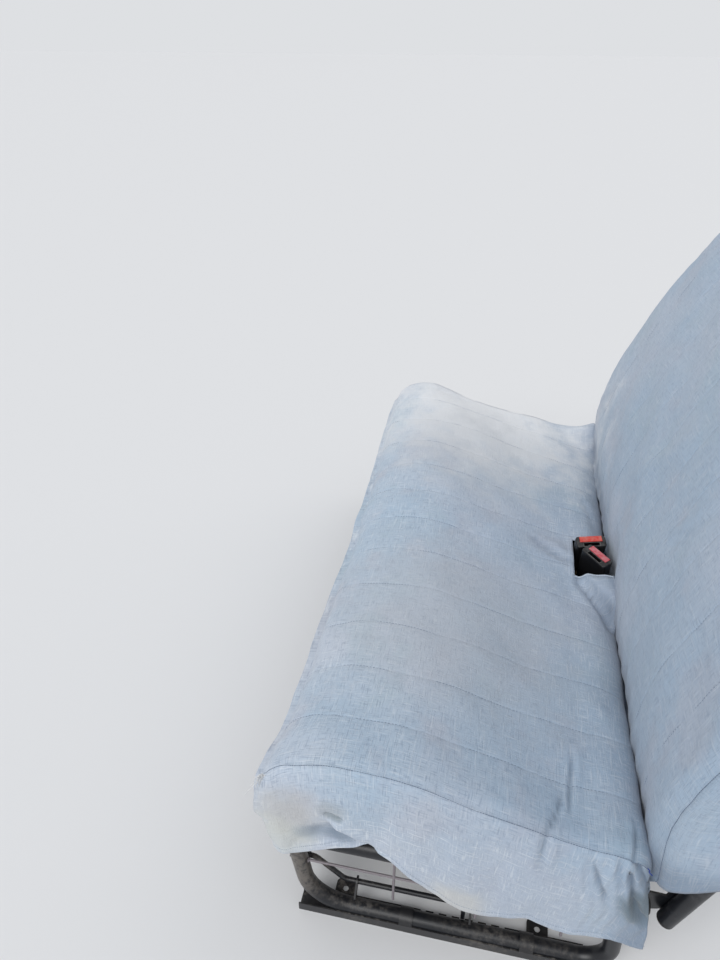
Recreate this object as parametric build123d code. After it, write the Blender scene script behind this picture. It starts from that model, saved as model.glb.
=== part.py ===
"""Front bench seat of a small car: sprung tube frame on floor runners, two cushions and a slip cover.

Millimetres. The seat faces -Y, +X is the car's left side, +Z is up and the car's floor is z = 0.
The origin lies on the floor, in the middle of the four bolts that hold the runners.
"""

from math import atan2, cos, radians, sin, tan
import os

from build123d import *

# Whole seat
seat_width = 1180
seat_front_y = -250
cover_thickness = 3.5
soft_clearance = 0.5
weld_gap = 0.2

# Frame tubes, all one gauge, set in from the sides of the cover
tube_radius = 12.5
frame_inset = 17
front_rail_y = -228
front_rail_z = 226
front_corner_bend = 48
rear_rail_inset = 16
rear_rail_z = 182
side_rail_drop = 2
side_rail_overhang = 22
leg_foot_y = -197
leg_joint_z = 150
foot_bend = 74
rear_foot_behind = 4
rear_leg_ahead = 8
rear_foot_bend = 42

# Runners on the floor
runner_plate = 2
runner_length = 430
runner_wall_height = 17
tube_clearance = 0.5
floor_tube_gap = 0.3
bolt_spacing_y = 300
bolt_hole_radius = 4.5
bolt_edge = 15
ear_length = 32
ear_corner = 8
clip_places_y = (-48, 132)
clip_length = 20

# Latch: notches in the left and right runners, pawl and rod on the left sled
slide_travel = 60
notch_pitch = 20
notch_size = 8
notch_centre_y = 36
pawl_width = 6
pawl_lift = 1.5
pawl_tube_gap = 1
lever_radius = 4
lever_offset = 25
lever_z = 40
lever_front_y = -150
lever_crank = 46
lever_handle = 84
lever_bend = 16
grip_radius = 8
grip_ribs = 7
rib_height = 1
lever_eye_places_y = (-130, 47)
lever_eye_thickness = 3
lever_eye_radius = 8
lever_running_gap = 0.3

# Side mesh of welded wire
wire_radius = 2
wire_height = 118
wire_count = 3
wire_pitch = 123
rear_wire_ahead = 70
wire_end_z = 58

# Back frame, leaning to the rear from its feet
back_foot_behind = 54
back_foot_z = 158
back_top_z = 806
back_lean = 16
back_bend = 95
back_cross_drop = 108
bracket_thickness = 3
bracket_edge = 13
bracket_along_rail = 34
bracket_down_leg = 34
bracket_up_back = 84
plug_length = 5

# Springing: rubber straps with flat steel hooks, under a sheet of sacking
strap_count = 9
strap_side_gap = 20
strap_width = 26
strap_thickness = 5
strap_end_gap = 4
hook_thickness = 2.5
hook_width = 22
hook_tail = 42
hook_wrap = 165
hook_clearance = 0.3
sheet_thickness = 2
sheet_overlap = 6
sheet_side_gap = 2

# Seat cushion: places behind its front face and heights, from the nose to the rear
cushion_depth = 508
cushion_front_z = 332
cushion_nose_back = 66
cushion_nose_z = 374
cushion_waist_share = 0.484
cushion_waist_z = 322
cushion_rear_z = 290
cushion_nose_round = 46
cushion_edge_round = 14
cushion_front_lip = 8

# Back cushion and its cover, measured up the back frame and forwards from its plane
back_cushion_start = 118
back_top_reach = 40
back_foot_thickness = 62
back_belly_thickness = 94
back_belly_height = 330
back_top_thickness = 14
back_corner_round = 110
back_edge_round = 9
back_cover_start = 138

# Slip cover's drops. Columns: place behind the front edge, height of the seam, height of the hem.
# The seam's height is left out where the seam runs straight on.
drop_top_gap = 14
front_hem_z = 150
side_drop = (
    (0, 332, 150),
    (36, None, 156),
    (70, 374, 184),
    (130, None, 214),
    (186, None, 180),
    (268, None, 108),
    (300, None, 104),
    (360, None, 116),
    (404, None, 98),
    (cushion_depth, 290, 102),
)
hem_round = 16

# Belt buckles, which stand up out of the gap between the cushions
buckle_gap_x = -36
buckle_gap_width = 144
buckle_gap_depth = 90
buckle_height = 84
buckle_width = 58
buckle_thickness = 26
buckle_edge_round = 6
buckle_top_round = 2.5
tongue_slot_width = 30
tongue_slot_thickness = 7
tongue_slot_depth = 26
button_width = 44
button_thickness = 13
button_margin = 1.2
button_depth = 5
button_proud = 1
button_clearance = 0.3
stalk_width = 20
stalk_thickness = 4
stalk_joint = 0.3
anchor_thickness = 3
anchor_half_height = 20
anchor_margin = 5

# Columns: name, place across, reach ahead of the rear rail, top, turn from facing sideways, lean to the
# left side, stalk's place across
buckles = (
    ("driver", -9.6, 25.4, 309.8, -46, 10, -26),
    ("passenger", -57.2, 33.4, 306.6, 12, 20, -86),
)

# Sizes that follow from the ones above
cushion_front_y = seat_front_y + cover_thickness + soft_clearance
cushion_rear_y = cushion_front_y + cushion_depth
cushion_half_width = seat_width / 2 - cover_thickness - 2 * soft_clearance
rear_rail_y = cushion_rear_y - rear_rail_inset
rear_leg_foot_y = rear_rail_y + rear_foot_behind
rear_leg_top_y = rear_rail_y - rear_leg_ahead
back_foot_y = rear_rail_y + back_foot_behind
frame_half_width = seat_width / 2 - frame_inset
lever_x = frame_half_width - lever_offset
tube_z = runner_plate + floor_tube_gap + tube_radius
side_rail_z = rear_rail_z - side_rail_drop
side_rail_end_y = rear_rail_y + side_rail_overhang
leg_joint_y = leg_foot_y + (front_rail_y - leg_foot_y) * (leg_joint_z - tube_z) / (front_rail_z - tube_z)
lean = radians(back_lean)
back_length = (back_top_z - back_foot_z) / cos(lean)
back_top_y = back_foot_y + back_length * sin(lean)
back_cross_y = back_foot_y + back_cross_drop * sin(lean)
back_cross_z = back_foot_z + back_cross_drop * cos(lean)
back_span = back_length - back_cross_drop
seat_slope = atan2(front_rail_z - rear_rail_z, rear_rail_y - front_rail_y)
seat_span = Vector(0, rear_rail_y - front_rail_y, rear_rail_z - front_rail_z).length
hook_inner = tube_radius + hook_clearance
hook_outer = hook_inner + hook_thickness
sheet_level = hook_outer + hook_clearance
cushion_level = sheet_level + sheet_thickness + soft_clearance


def round_bar(points, bends, radius):
    """Solid round bar along straight runs, with a bend where they meet."""
    path = FilletPolyline(*points, radius=bends) if len(points) > 2 else Line(*points)
    start = Plane(origin=path @ 0, z_dir=path % 0)
    return sweep(start * Circle(radius), path=path)


def straight_bar(start, end, radius):
    """Solid round bar between two points."""
    axis = Vector(*end) - Vector(*start)
    return extrude(Plane(origin=start, z_dir=axis) * Circle(radius), amount=axis.length)


def across_seat(y, z, radius):
    """Round bar from one side's tube axis to the other's."""
    return straight_bar((-frame_half_width, y, z), (frame_half_width, y, z), radius)


def in_left_tubes(*places):
    """Points in Y and Z on the middle plane of the left side's tubes."""
    return [(frame_half_width, y, z) for y, z in places]


def side_slab(outline, x_low, x_high):
    """A side-view outline in Y and Z made solid between two places across the seat."""
    return extrude(Plane.YZ.offset(x_low) * outline, amount=x_high - x_low, dir=(1, 0, 0))


def mirrored(part):
    """The same piece for the other side of the seat."""
    return mirror(part, about=Plane.YZ)


def seat_plane():
    """Plane of the front and rear rails' axes: its y runs to the rear, its z up."""
    origin = (0, front_rail_y, front_rail_z)
    return Plane(origin=origin, x_dir=(1, 0, 0), z_dir=(0, sin(seat_slope), cos(seat_slope)))


def back_plane(distance):
    """Plane of the back frame's axis, from a distance above its feet: y runs up the back, z forwards."""
    origin = (0, back_foot_y + distance * sin(lean), back_foot_z + distance * cos(lean))
    return Plane(origin=origin, x_dir=(1, 0, 0), z_dir=(0, -cos(lean), sin(lean)))


def make_clip(y):
    """Guide clip: a strap bent over the floor tube from one channel wall to the other."""
    inner = tube_radius + tube_clearance
    outer = inner + runner_plate
    arch = Circle(outer) - Circle(inner) - Pos(0, -outer) * Rectangle(2 * outer, 2 * outer)
    post_height = tube_z - runner_wall_height / 2
    posts = Rectangle(2 * outer, post_height) - Rectangle(2 * inner, post_height)
    face = Plane(origin=(frame_half_width, y + clip_length / 2, tube_z), x_dir=(1, 0, 0), z_dir=(0, -1, 0))
    return extrude(face * (arch + Pos(0, -post_height / 2) * posts), amount=clip_length)


def make_runner():
    """Left runner: a pressed channel for the tube, with bolt ears, guide clips and latch notches."""
    inner = tube_radius + tube_clearance
    outer = inner + runner_plate
    low = (Align.CENTER, Align.CENTER, Align.MIN)
    runner = Pos(frame_half_width) * Box(2 * outer, runner_length, runner_wall_height, align=low)
    runner -= Pos(frame_half_width, 0, runner_plate) * Box(
        2 * inner, runner_length, runner_wall_height, align=low)
    ear_reach = 2 * bolt_edge
    for y in (-bolt_spacing_y / 2, bolt_spacing_y / 2):
        ear = Pos(frame_half_width - inner, y) * Box(
            ear_reach + runner_plate, ear_length, runner_plate, align=(Align.MAX, Align.CENTER, Align.MIN))
        ear = fillet(ear.edges().filter_by(Axis.Z).group_by(Axis.X)[0], ear_corner)
        runner += ear
        runner -= Pos(frame_half_width - outer - bolt_edge, y) * Cylinder(bolt_hole_radius, 4 * runner_plate)
    for y in clip_places_y:
        runner += make_clip(y)
    steps = round(slide_travel / notch_pitch)
    for step in range(-steps, steps + 1):
        y = notch_centre_y + step * notch_pitch
        runner -= Pos(frame_half_width - outer, y, runner_wall_height) * Box(
            4 * runner_plate, notch_size, notch_size)
    return runner


def make_front_rail():
    """Front cross rail with both its corner bends, down to the joints with the front legs."""
    points = [(-frame_half_width, leg_joint_y, leg_joint_z), (-frame_half_width, front_rail_y, front_rail_z),
              (frame_half_width, front_rail_y, front_rail_z), (frame_half_width, leg_joint_y, leg_joint_z)]
    return round_bar(points, front_corner_bend, tube_radius)


def side_rail_bar(radius):
    """Round bar where the left side rail runs, from inside the front leg to its free rear end."""
    ends = in_left_tubes((front_rail_y, side_rail_z), (side_rail_end_y, side_rail_z))
    return straight_bar(*ends, radius)


def sled_bar(radius, top_y, top_z):
    """Round bar where the left sled runs: front leg, run along the floor and rear leg."""
    points = in_left_tubes((top_y, top_z), (leg_foot_y, tube_z), (rear_leg_foot_y, tube_z),
                           (rear_leg_top_y, side_rail_z))
    return round_bar(points, [foot_bend, rear_foot_bend], radius)


def make_sled():
    """Left sled: one bent tube, coped under the side rail and the rear rail."""
    sled = sled_bar(tube_radius, leg_joint_y, leg_joint_z) - side_rail_bar(tube_radius + weld_gap)
    return sled - across_seat(rear_rail_y, rear_rail_z, tube_radius + weld_gap)


def add_lever_eyes(sled):
    """Welds the plates that carry the latch rod to the left sled."""
    outline = make_hull([Pos(lever_x, lever_z) * Circle(lever_eye_radius).edge(),
                         Pos(frame_half_width, tube_z) * Circle(tube_radius / 2).edge()])
    outline -= Pos(lever_x, lever_z) * Circle(lever_radius + lever_running_gap)
    for y in lever_eye_places_y:
        face = Plane(origin=(0, y + lever_eye_thickness / 2, 0), x_dir=(1, 0, 0), z_dir=(0, -1, 0))
        sled += extrude(face * outline, amount=lever_eye_thickness)
    return sled


def make_side_rail():
    """Left side rail, coped against the corner bend of the front rail and its leg."""
    corner = [(0, front_rail_y, front_rail_z),
              *in_left_tubes((front_rail_y, front_rail_z), (leg_joint_y, leg_joint_z))]
    leg = round_bar(corner, front_corner_bend, tube_radius + weld_gap)
    return (side_rail_bar(tube_radius) - leg).solids().sort_by(Axis.Y)[-1]


def make_rear_rail():
    """Rear cross rail, coped between the side rails."""
    side = side_rail_bar(tube_radius + weld_gap)
    return across_seat(rear_rail_y, rear_rail_z, tube_radius) - side - mirrored(side)


def make_side_wires():
    """Welded wires that hold the cover in at the left side: one along it, the others down from the rail."""
    rail_under = side_rail_z - tube_radius - weld_gap
    wires = Part()
    for number in range(wire_count):
        y = rear_rail_y - rear_wire_ahead - number * wire_pitch
        wires += straight_bar(*in_left_tubes((y, wire_end_z), (y, rail_under)), wire_radius)
    ends = in_left_tubes((front_rail_y, wire_height), (rear_leg_foot_y, wire_height))
    along = straight_bar(*ends, wire_radius) - sled_bar(tube_radius + weld_gap, front_rail_y, front_rail_z)
    return wires + along.solids().sort_by(SortBy.VOLUME)[-1]


def make_back_hoop():
    """Back frame: one tube up both sides and across the top."""
    points = [(-frame_half_width, back_foot_y, back_foot_z), (-frame_half_width, back_top_y, back_top_z),
              (frame_half_width, back_top_y, back_top_z), (frame_half_width, back_foot_y, back_foot_z)]
    return round_bar(points, back_bend, tube_radius)


def make_back_cross_tube():
    """Cross tube low in the back frame, which the back's straps hook on to."""
    ends = in_left_tubes((back_foot_y, back_foot_z), (back_top_y, back_top_z))
    side = straight_bar(*ends, tube_radius + weld_gap)
    return across_seat(back_cross_y, back_cross_z, tube_radius) - side - mirrored(side)


def make_end_plugs():
    """Plastic plugs pushed into the open ends of the side rails and the back frame."""
    foot = back_plane(0).origin
    down = Vector(0, -sin(lean), -cos(lean))
    ends = (((side_rail_end_y, side_rail_z), (1, 0)), ((foot.Y, foot.Z), (down.Y, down.Z)))
    plug = extrude(Circle(tube_radius), amount=plug_length)
    plug = fillet(plug.edges().group_by(Axis.Z)[-1], plug_length * 0.6)
    plugs = Part()
    for (y, z), (ahead_y, ahead_z) in ends:
        for x in (-frame_half_width, frame_half_width):
            plugs += Plane(origin=(x, y + ahead_y * weld_gap, z + ahead_z * weld_gap),
                           z_dir=(0, ahead_y, ahead_z)) * plug
    return plugs


def make_back_bracket():
    """Left bracket: a plate inside the tubes that joins the back frame to the seat frame."""
    def up_back(distance):
        return Pos(back_foot_y + distance * sin(lean), back_foot_z + distance * cos(lean))

    corner = Circle(bracket_edge).edge()
    foot = up_back(bracket_edge + plug_length) * corner
    on_rail = Pos(rear_leg_top_y - bracket_along_rail, side_rail_z) * corner
    on_leg = Pos(rear_leg_top_y, side_rail_z - bracket_down_leg) * corner
    along_rail = make_hull([on_rail, on_leg, foot])
    up = make_hull([foot, up_back(bracket_up_back) * corner])
    outer_face = frame_half_width - tube_radius - weld_gap
    plate = side_slab(along_rail + up, outer_face - bracket_thickness, outer_face)
    for y, z in ((rear_rail_y, rear_rail_z), (back_cross_y, back_cross_z)):
        plate -= across_seat(y, z, tube_radius + weld_gap)
    return plate


def make_hook(span, at_far_end):
    """Flat steel hook round a rail, its tail along the top of the strap, in the straps' own plane."""
    corner = 3 * hook_outer
    wrap = radians(hook_wrap)
    open_side = Polygon((0, 0), (0, corner), (corner, corner), (corner, -corner),
                        (-corner * sin(wrap), corner * cos(wrap)), align=None)
    bow = Circle(hook_outer) - Circle(hook_inner) - open_side
    profile = bow + Pos(hook_tail / 2, (hook_inner + hook_outer) / 2) * Rectangle(hook_tail, hook_thickness)
    if at_far_end:
        profile = Pos(span, 0) * mirror(profile, about=Plane.YZ)
    side = Plane(origin=(-hook_width / 2, 0, 0), x_dir=(0, 1, 0), z_dir=(1, 0, 0))
    return extrude(side * profile, amount=hook_width)


def make_springing(plane, span, corner_bend):
    """Hooks and rubber straps at even places between the bends, each strap under its hooks' tails."""
    pitch = 2 * (frame_half_width - corner_bend - strap_side_gap) / (strap_count - 1)
    strap = Pos(0, span / 2, hook_inner - hook_clearance / 3 - strap_thickness / 2) * Box(
        strap_width, span - 2 * (tube_radius + strap_end_gap), strap_thickness)
    hooks, straps = Part(), Part()
    for number in range(strap_count):
        place = Pos((number - (strap_count - 1) / 2) * pitch)
        hooks += plane.from_local_coords(place * make_hook(span, False))
        hooks += plane.from_local_coords(place * make_hook(span, True))
        straps += plane.from_local_coords(place * strap)
    return hooks, straps


def make_sheet(plane, span):
    """Sacking over the straps, from rail to rail."""
    width = 2 * (frame_half_width - tube_radius - bracket_thickness - sheet_side_gap)
    length = span + 2 * sheet_overlap
    return plane.from_local_coords(
        Pos(0, span / 2, sheet_level + sheet_thickness / 2) * Box(width, length, sheet_thickness))


def cut_for_stalks(sheet):
    """Cuts the seat's sacking away where the buckles' stalks come up."""
    low = buckle_gap_x - buckle_gap_width / 2
    high = -hook_width / 2 - sheet_side_gap
    return sheet - Pos(low, rear_rail_y - 2 * tube_radius, rear_rail_z) * Box(
        high - low, 6 * tube_radius, 6 * tube_radius, align=(Align.MIN, Align.MIN, Align.CENTER))


def make_seat_cushion():
    """Seat cushion: foam with a raised nose that falls to the rear, cut away for the buckles."""
    def underside(y):
        return front_rail_z + cushion_level / cos(seat_slope) - (y - front_rail_y) * tan(seat_slope)

    rail_front = front_rail_y - hook_outer
    lip = (cushion_front_y, underside(cushion_front_y) - cushion_front_lip)
    nose = (cushion_front_y + cushion_nose_back, cushion_nose_z)
    waist = (cushion_front_y + cushion_waist_share * cushion_depth, cushion_waist_z)
    rear = (cushion_rear_y, cushion_rear_z)
    outline = make_face(
        Polyline(lip, (cushion_front_y, cushion_front_z), nose)
        + ThreePointArc(nose, waist, rear)
        + Polyline(rear, (cushion_rear_y, underside(cushion_rear_y)),
                   (rail_front, underside(rail_front)), lip))
    top_corners = outline.vertices().sort_by(Axis.Y)[-2:]
    outline = fillet(top_corners.sort_by(Axis.Y)[-1:], cushion_nose_round)
    cushion = side_slab(outline, -cushion_half_width, cushion_half_width)
    ends = cushion.faces().sort_by(Axis.X)
    low = (cushion_rear_z + underside(cushion_rear_y)) / 2
    sides = [edge for edge in ends[0].edges() + ends[-1].edges()
             if edge.center().Z > low and edge.center().Y > cushion_front_y]
    cushion = fillet(sides, cushion_edge_round)
    return cushion - Pos(buckle_gap_x, cushion_rear_y, cushion_rear_z) * Box(
        buckle_gap_width, 2 * buckle_gap_depth, seat_width)


def back_outline(inset):
    """Front view of the back in its own plane: a rectangle with rounded upper corners."""
    low, high = back_cushion_start, back_length + back_top_reach - inset
    half = seat_width / 2 - inset
    outline = Pos(0, (low + high) / 2) * Rectangle(2 * half, high - low)
    return fillet(outline.vertices().group_by(Axis.Y)[-1], back_corner_round - inset)


def make_back_cushion():
    """Back cushion: foam in front of the back frame, fullest at the small of the back."""
    top = back_length + back_top_reach - cover_thickness
    low = back_cushion_start
    back_face = cushion_level
    foot = (low, back_face + back_foot_thickness)
    tip = (top, back_face + back_top_thickness)
    profile = make_face(
        Line((low, back_face), foot)
        + ThreePointArc(foot, (back_belly_height, back_face + back_belly_thickness), tip)
        + Polyline(tip, (top, back_face), (low, back_face)))
    inset = cover_thickness + 2 * soft_clearance
    side = Plane(origin=(-seat_width / 2, 0, 0), x_dir=(0, 1, 0), z_dir=(1, 0, 0))
    body = extrude(side * profile, amount=seat_width)
    body &= extrude(back_outline(inset), amount=2 * back_belly_thickness)
    return back_plane(0).from_local_coords(body)


def make_back_cover():
    """Rear of the back's slip cover: a panel behind the frame with its edges turned forwards."""
    rear = -(hook_outer + soft_clearance + cover_thickness)
    front = cushion_level
    panel = Pos(0, 0, rear) * extrude(back_outline(0), amount=front - rear)
    hollow = Pos(0, 0, rear + cover_thickness) * extrude(
        back_outline(cover_thickness), amount=front - rear)
    below = Pos(0, back_cushion_start, 0) * Box(
        2 * seat_width, 2 * (back_cover_start - back_cushion_start), 4 * front)
    return back_plane(0).from_local_coords(panel - hollow - below)


def make_front_drop():
    """Front drop of the slip cover, between the side drops."""
    half = seat_width / 2 - cover_thickness - soft_clearance
    top_z = cushion_front_z - drop_top_gap
    return Pos(0, seat_front_y, front_hem_z) * Box(
        2 * half, cover_thickness, top_z - front_hem_z, align=(Align.CENTER, Align.MIN, Align.MIN))


def make_side_drop():
    """Left drop of the slip cover, its hem rising behind the front corner and falling to the rear."""
    hem = [(seat_front_y + back, hem_z) for back, seam_z, hem_z in side_drop]
    seam = [(seat_front_y + back, seam_z - drop_top_gap)
            for back, seam_z, hem_z in side_drop if seam_z is not None]
    outline = Polygon(*hem, *reversed(seam), align=None)
    inner_corners = [corner for corner in outline.vertices()
                     if any(abs(corner.X - y) < 1 and abs(corner.Y - z) < 1 for y, z in hem[1:-1])]
    outline = fillet(inner_corners, hem_round)
    return side_slab(outline, seat_width / 2 - cover_thickness, seat_width / 2)


def make_release_lever():
    """Latch rod along the inside of the left sled, with the pawl that drops into the runner's notches."""
    handle_z = lever_z + lever_crank
    places = ((notch_centre_y + pawl_width, lever_z), (lever_front_y, lever_z),
              (lever_front_y - lever_crank, handle_z), (lever_front_y - lever_handle, handle_z))
    points = [(lever_x, y, z) for y, z in places]
    inside = lever_x - lever_radius
    low = runner_wall_height + pawl_lift
    pawl = Pos(inside, notch_centre_y, low) * Box(
        frame_half_width - tube_radius - inside, pawl_width, lever_z + lever_radius - low,
        align=(Align.MIN, Align.CENTER, Align.MIN))
    beside = in_left_tubes((notch_centre_y - pawl_width, tube_z), (notch_centre_y + pawl_width, tube_z))
    pawl -= straight_bar(*beside, tube_radius + pawl_tube_gap)
    return round_bar(points, lever_bend, lever_radius) + pawl


def make_lever_grip():
    """Ribbed rubber grip pushed over the rod's front end."""
    handle_z = lever_z + lever_crank
    front = lever_front_y - lever_handle - rib_height
    face = Plane(origin=(lever_x, front, handle_z), z_dir=(0, 1, 0))
    length = lever_handle - lever_crank - lever_bend / 2
    grip = extrude(face * Circle(grip_radius), amount=length)
    for rib in range(grip_ribs):
        place = (rib + 0.5) * length / grip_ribs
        rib = face.offset(place) * Circle(grip_radius + rib_height)
        grip += extrude(rib, amount=length / (2 * grip_ribs))
    bore = face.offset(rib_height) * Circle(lever_radius + lever_running_gap)
    return grip - extrude(bore, amount=length)


def buckle_place(x, ahead, top, turn, lean):
    """Place of a buckle's top, which leans to the left side on its bent stalk."""
    return Pos(x, rear_rail_y - ahead, top) * Rot(0, lean, 0) * Rot(0, 0, 90 + turn)


def make_buckle(place):
    """Buckle: a moulded case with the tongue's slot and the button's recess in its top, and the button."""
    case = Pos(0, 0, -buckle_height / 2) * Box(buckle_width, buckle_thickness, buckle_height)
    case = fillet(case.edges().filter_by(Axis.Z), buckle_edge_round)
    case = fillet(case.edges().group_by(Axis.Z)[-1], buckle_top_round)
    half = buckle_thickness / 2
    down = (Align.CENTER, Align.CENTER, Align.MAX)
    case -= Pos(0, -half / 2 - button_clearance) * Box(
        tongue_slot_width, tongue_slot_thickness, tongue_slot_depth, align=down)
    button_y = half - button_margin - button_thickness / 2
    case -= Pos(0, button_y) * Box(button_width, button_thickness, button_depth, align=down)
    button = Pos(0, button_y, button_proud) * Box(
        button_width - 2 * button_clearance, button_thickness - 2 * button_clearance,
        button_proud + button_depth - button_clearance, align=down)
    button = fillet(button.edges().group_by(Axis.Z)[-1], button_proud / 2)
    return place * case, place * button


def make_stalk(x, place):
    """Webbing stalk from a buckle's foot down to the anchor plate."""
    low = rear_rail_z - anchor_half_height + stalk_thickness
    rear = rear_rail_y - tube_radius - weld_gap - anchor_thickness - stalk_joint
    stalk = Pos(x, rear, low) * Box(
        stalk_width, stalk_thickness, 2 * buckle_height, align=(Align.CENTER, Align.MAX, Align.MIN))
    above = place * Pos(0, 0, -buckle_height - stalk_joint) * Box(
        4 * buckle_width, 4 * buckle_width, 4 * buckle_height, align=(Align.CENTER, Align.CENTER, Align.MIN))
    return stalk - above


def make_anchor():
    """Steel plate on the rear rail that holds both buckles' stalks."""
    places = [stalk_x for *_, stalk_x in buckles]
    low = min(places) - stalk_width / 2 - anchor_margin
    high = max(places) + stalk_width / 2 + anchor_margin
    rear = rear_rail_y - tube_radius - weld_gap
    plate = Pos(low, rear, rear_rail_z) * Box(
        high - low, anchor_thickness, 2 * anchor_half_height, align=(Align.MIN, Align.MAX, Align.CENTER))
    return fillet(plate.edges().filter_by(Axis.Y), anchor_margin)


def make_pieces():
    """Every piece of the seat by its name."""
    left = {
        "runner": make_runner(),
        "sled": make_sled(),
        "side_rail": make_side_rail(),
        "side_wires": make_side_wires(),
        "back_bracket": make_back_bracket(),
        "skirt": make_side_drop(),
    }
    pieces = {}
    for name, piece in left.items():
        pieces[f"{name}_left"] = piece
        pieces[f"{name}_right"] = mirrored(piece)
    pieces["sled_left"] = add_lever_eyes(left["sled"])
    pieces["front_rail"] = make_front_rail()
    pieces["rear_rail"] = make_rear_rail()
    pieces["back_hoop"] = make_back_hoop()
    pieces["back_cross_tube"] = make_back_cross_tube()
    pieces["end_plugs"] = make_end_plugs()
    pieces["seat_hooks"], pieces["seat_straps"] = make_springing(seat_plane(), seat_span, front_corner_bend)
    pieces["back_hooks"], pieces["back_straps"] = make_springing(
        back_plane(back_cross_drop), back_span, back_bend)
    pieces["seat_sheet"] = cut_for_stalks(make_sheet(seat_plane(), seat_span))
    pieces["back_sheet"] = make_sheet(back_plane(back_cross_drop), back_span)
    pieces["seat_cushion"] = make_seat_cushion()
    pieces["back_cushion"] = make_back_cushion()
    pieces["back_cover"] = make_back_cover()
    pieces["skirt_front"] = make_front_drop()
    pieces["release_lever"] = make_release_lever()
    pieces["lever_grip"] = make_lever_grip()
    pieces["buckle_anchor"] = make_anchor()
    for name, x, ahead, top, turn, lean, stalk_x in buckles:
        place = buckle_place(x, ahead, top, turn, lean)
        pieces[f"buckle_{name}"], pieces[f"button_{name}"] = make_buckle(place)
        pieces[f"stalk_{name}"] = make_stalk(stalk_x, place)
    return pieces


os.makedirs("parts", exist_ok=True)
for node, solid in make_pieces().items():
    export_step(solid, f"parts/{node}.step")
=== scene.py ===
import math

import bmesh
import bpy
import numpy as np
from mathutils import Matrix, Vector


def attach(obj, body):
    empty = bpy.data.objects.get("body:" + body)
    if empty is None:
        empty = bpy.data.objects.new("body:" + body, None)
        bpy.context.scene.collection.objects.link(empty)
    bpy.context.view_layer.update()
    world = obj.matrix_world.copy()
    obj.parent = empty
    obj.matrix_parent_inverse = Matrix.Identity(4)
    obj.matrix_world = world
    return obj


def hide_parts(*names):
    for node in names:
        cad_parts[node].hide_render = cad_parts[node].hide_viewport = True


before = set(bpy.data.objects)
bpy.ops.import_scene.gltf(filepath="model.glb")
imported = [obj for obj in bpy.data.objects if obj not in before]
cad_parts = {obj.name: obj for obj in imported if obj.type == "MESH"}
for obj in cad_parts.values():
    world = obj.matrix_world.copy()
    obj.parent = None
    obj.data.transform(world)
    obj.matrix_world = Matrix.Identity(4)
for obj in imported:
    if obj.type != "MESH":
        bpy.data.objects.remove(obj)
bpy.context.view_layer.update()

scene = bpy.context.scene
scene.view_settings.view_transform = "Standard"


# The view: down on the seat from beside its left end, at a standing person's eye height, through the lens
# of a hand-held camera.
def linked(name, data):
    """An object made from its data, in the scene."""
    made = bpy.data.objects.new(name, data)
    scene.collection.objects.link(made)
    return made


camera_place = (1.144, 0.0, 1.177)
camera_right = Vector((-0.2067, 0.9784, 0.0)).normalized()
camera_forward = Vector((-0.8233, -0.1739, -0.5404)).normalized()
focal_pixels, picture_height, sensor_width = 721.0, 960.0, 36.0
lens_data = bpy.data.cameras.new("camera")
lens_data.sensor_width = sensor_width
lens_data.lens = focal_pixels / picture_height * sensor_width
camera = linked("camera", lens_data)
camera_turn = Matrix((camera_right, camera_right.cross(camera_forward), -camera_forward)).transposed()
camera.matrix_world = Matrix.Translation(camera_place) @ camera_turn.to_4x4()
scene.camera = camera


# The studio: a pale floor that runs into a pale backdrop, under a soft sky and two broad lamps, of which the
# stronger shines from the seat's left side.
class Level:
    """A number that varies over a surface: one output of a material's nodes, with plain arithmetic."""

    def __init__(self, finish, socket):
        self.finish, self.socket = finish, socket

    def math(self, operation, *values):
        return self.finish.node("ShaderNodeMath", {"operation": operation}, dict(enumerate(values)))

    def __add__(self, other):
        return self.math("ADD", self, other)

    def __radd__(self, other):
        return self.math("ADD", other, self)

    def __sub__(self, other):
        return self.math("SUBTRACT", self, other)

    def __rsub__(self, other):
        return self.math("SUBTRACT", other, self)

    def __mul__(self, other):
        return self.math("MULTIPLY", self, other)

    def __rmul__(self, other):
        return self.math("MULTIPLY", other, self)

    def __pow__(self, other):
        return self.math("POWER", self, other)

    def size(self):
        return self.math("ABSOLUTE", self)

    def wave(self):
        return self.math("SINE", self)

    def capped(self, most):
        return self.math("MINIMUM", self, most)

    def ramp(self, low, high):
        """0 at and below low, 1 at and above high, smooth between; falling where low is above high."""
        if low > high:
            return 1 - self.ramp(high, low)
        return self.finish.node("ShaderNodeMapRange", {"interpolation_type": "SMOOTHSTEP"},
                                {"Value": self, "From Min": low, "From Max": high})


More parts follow.
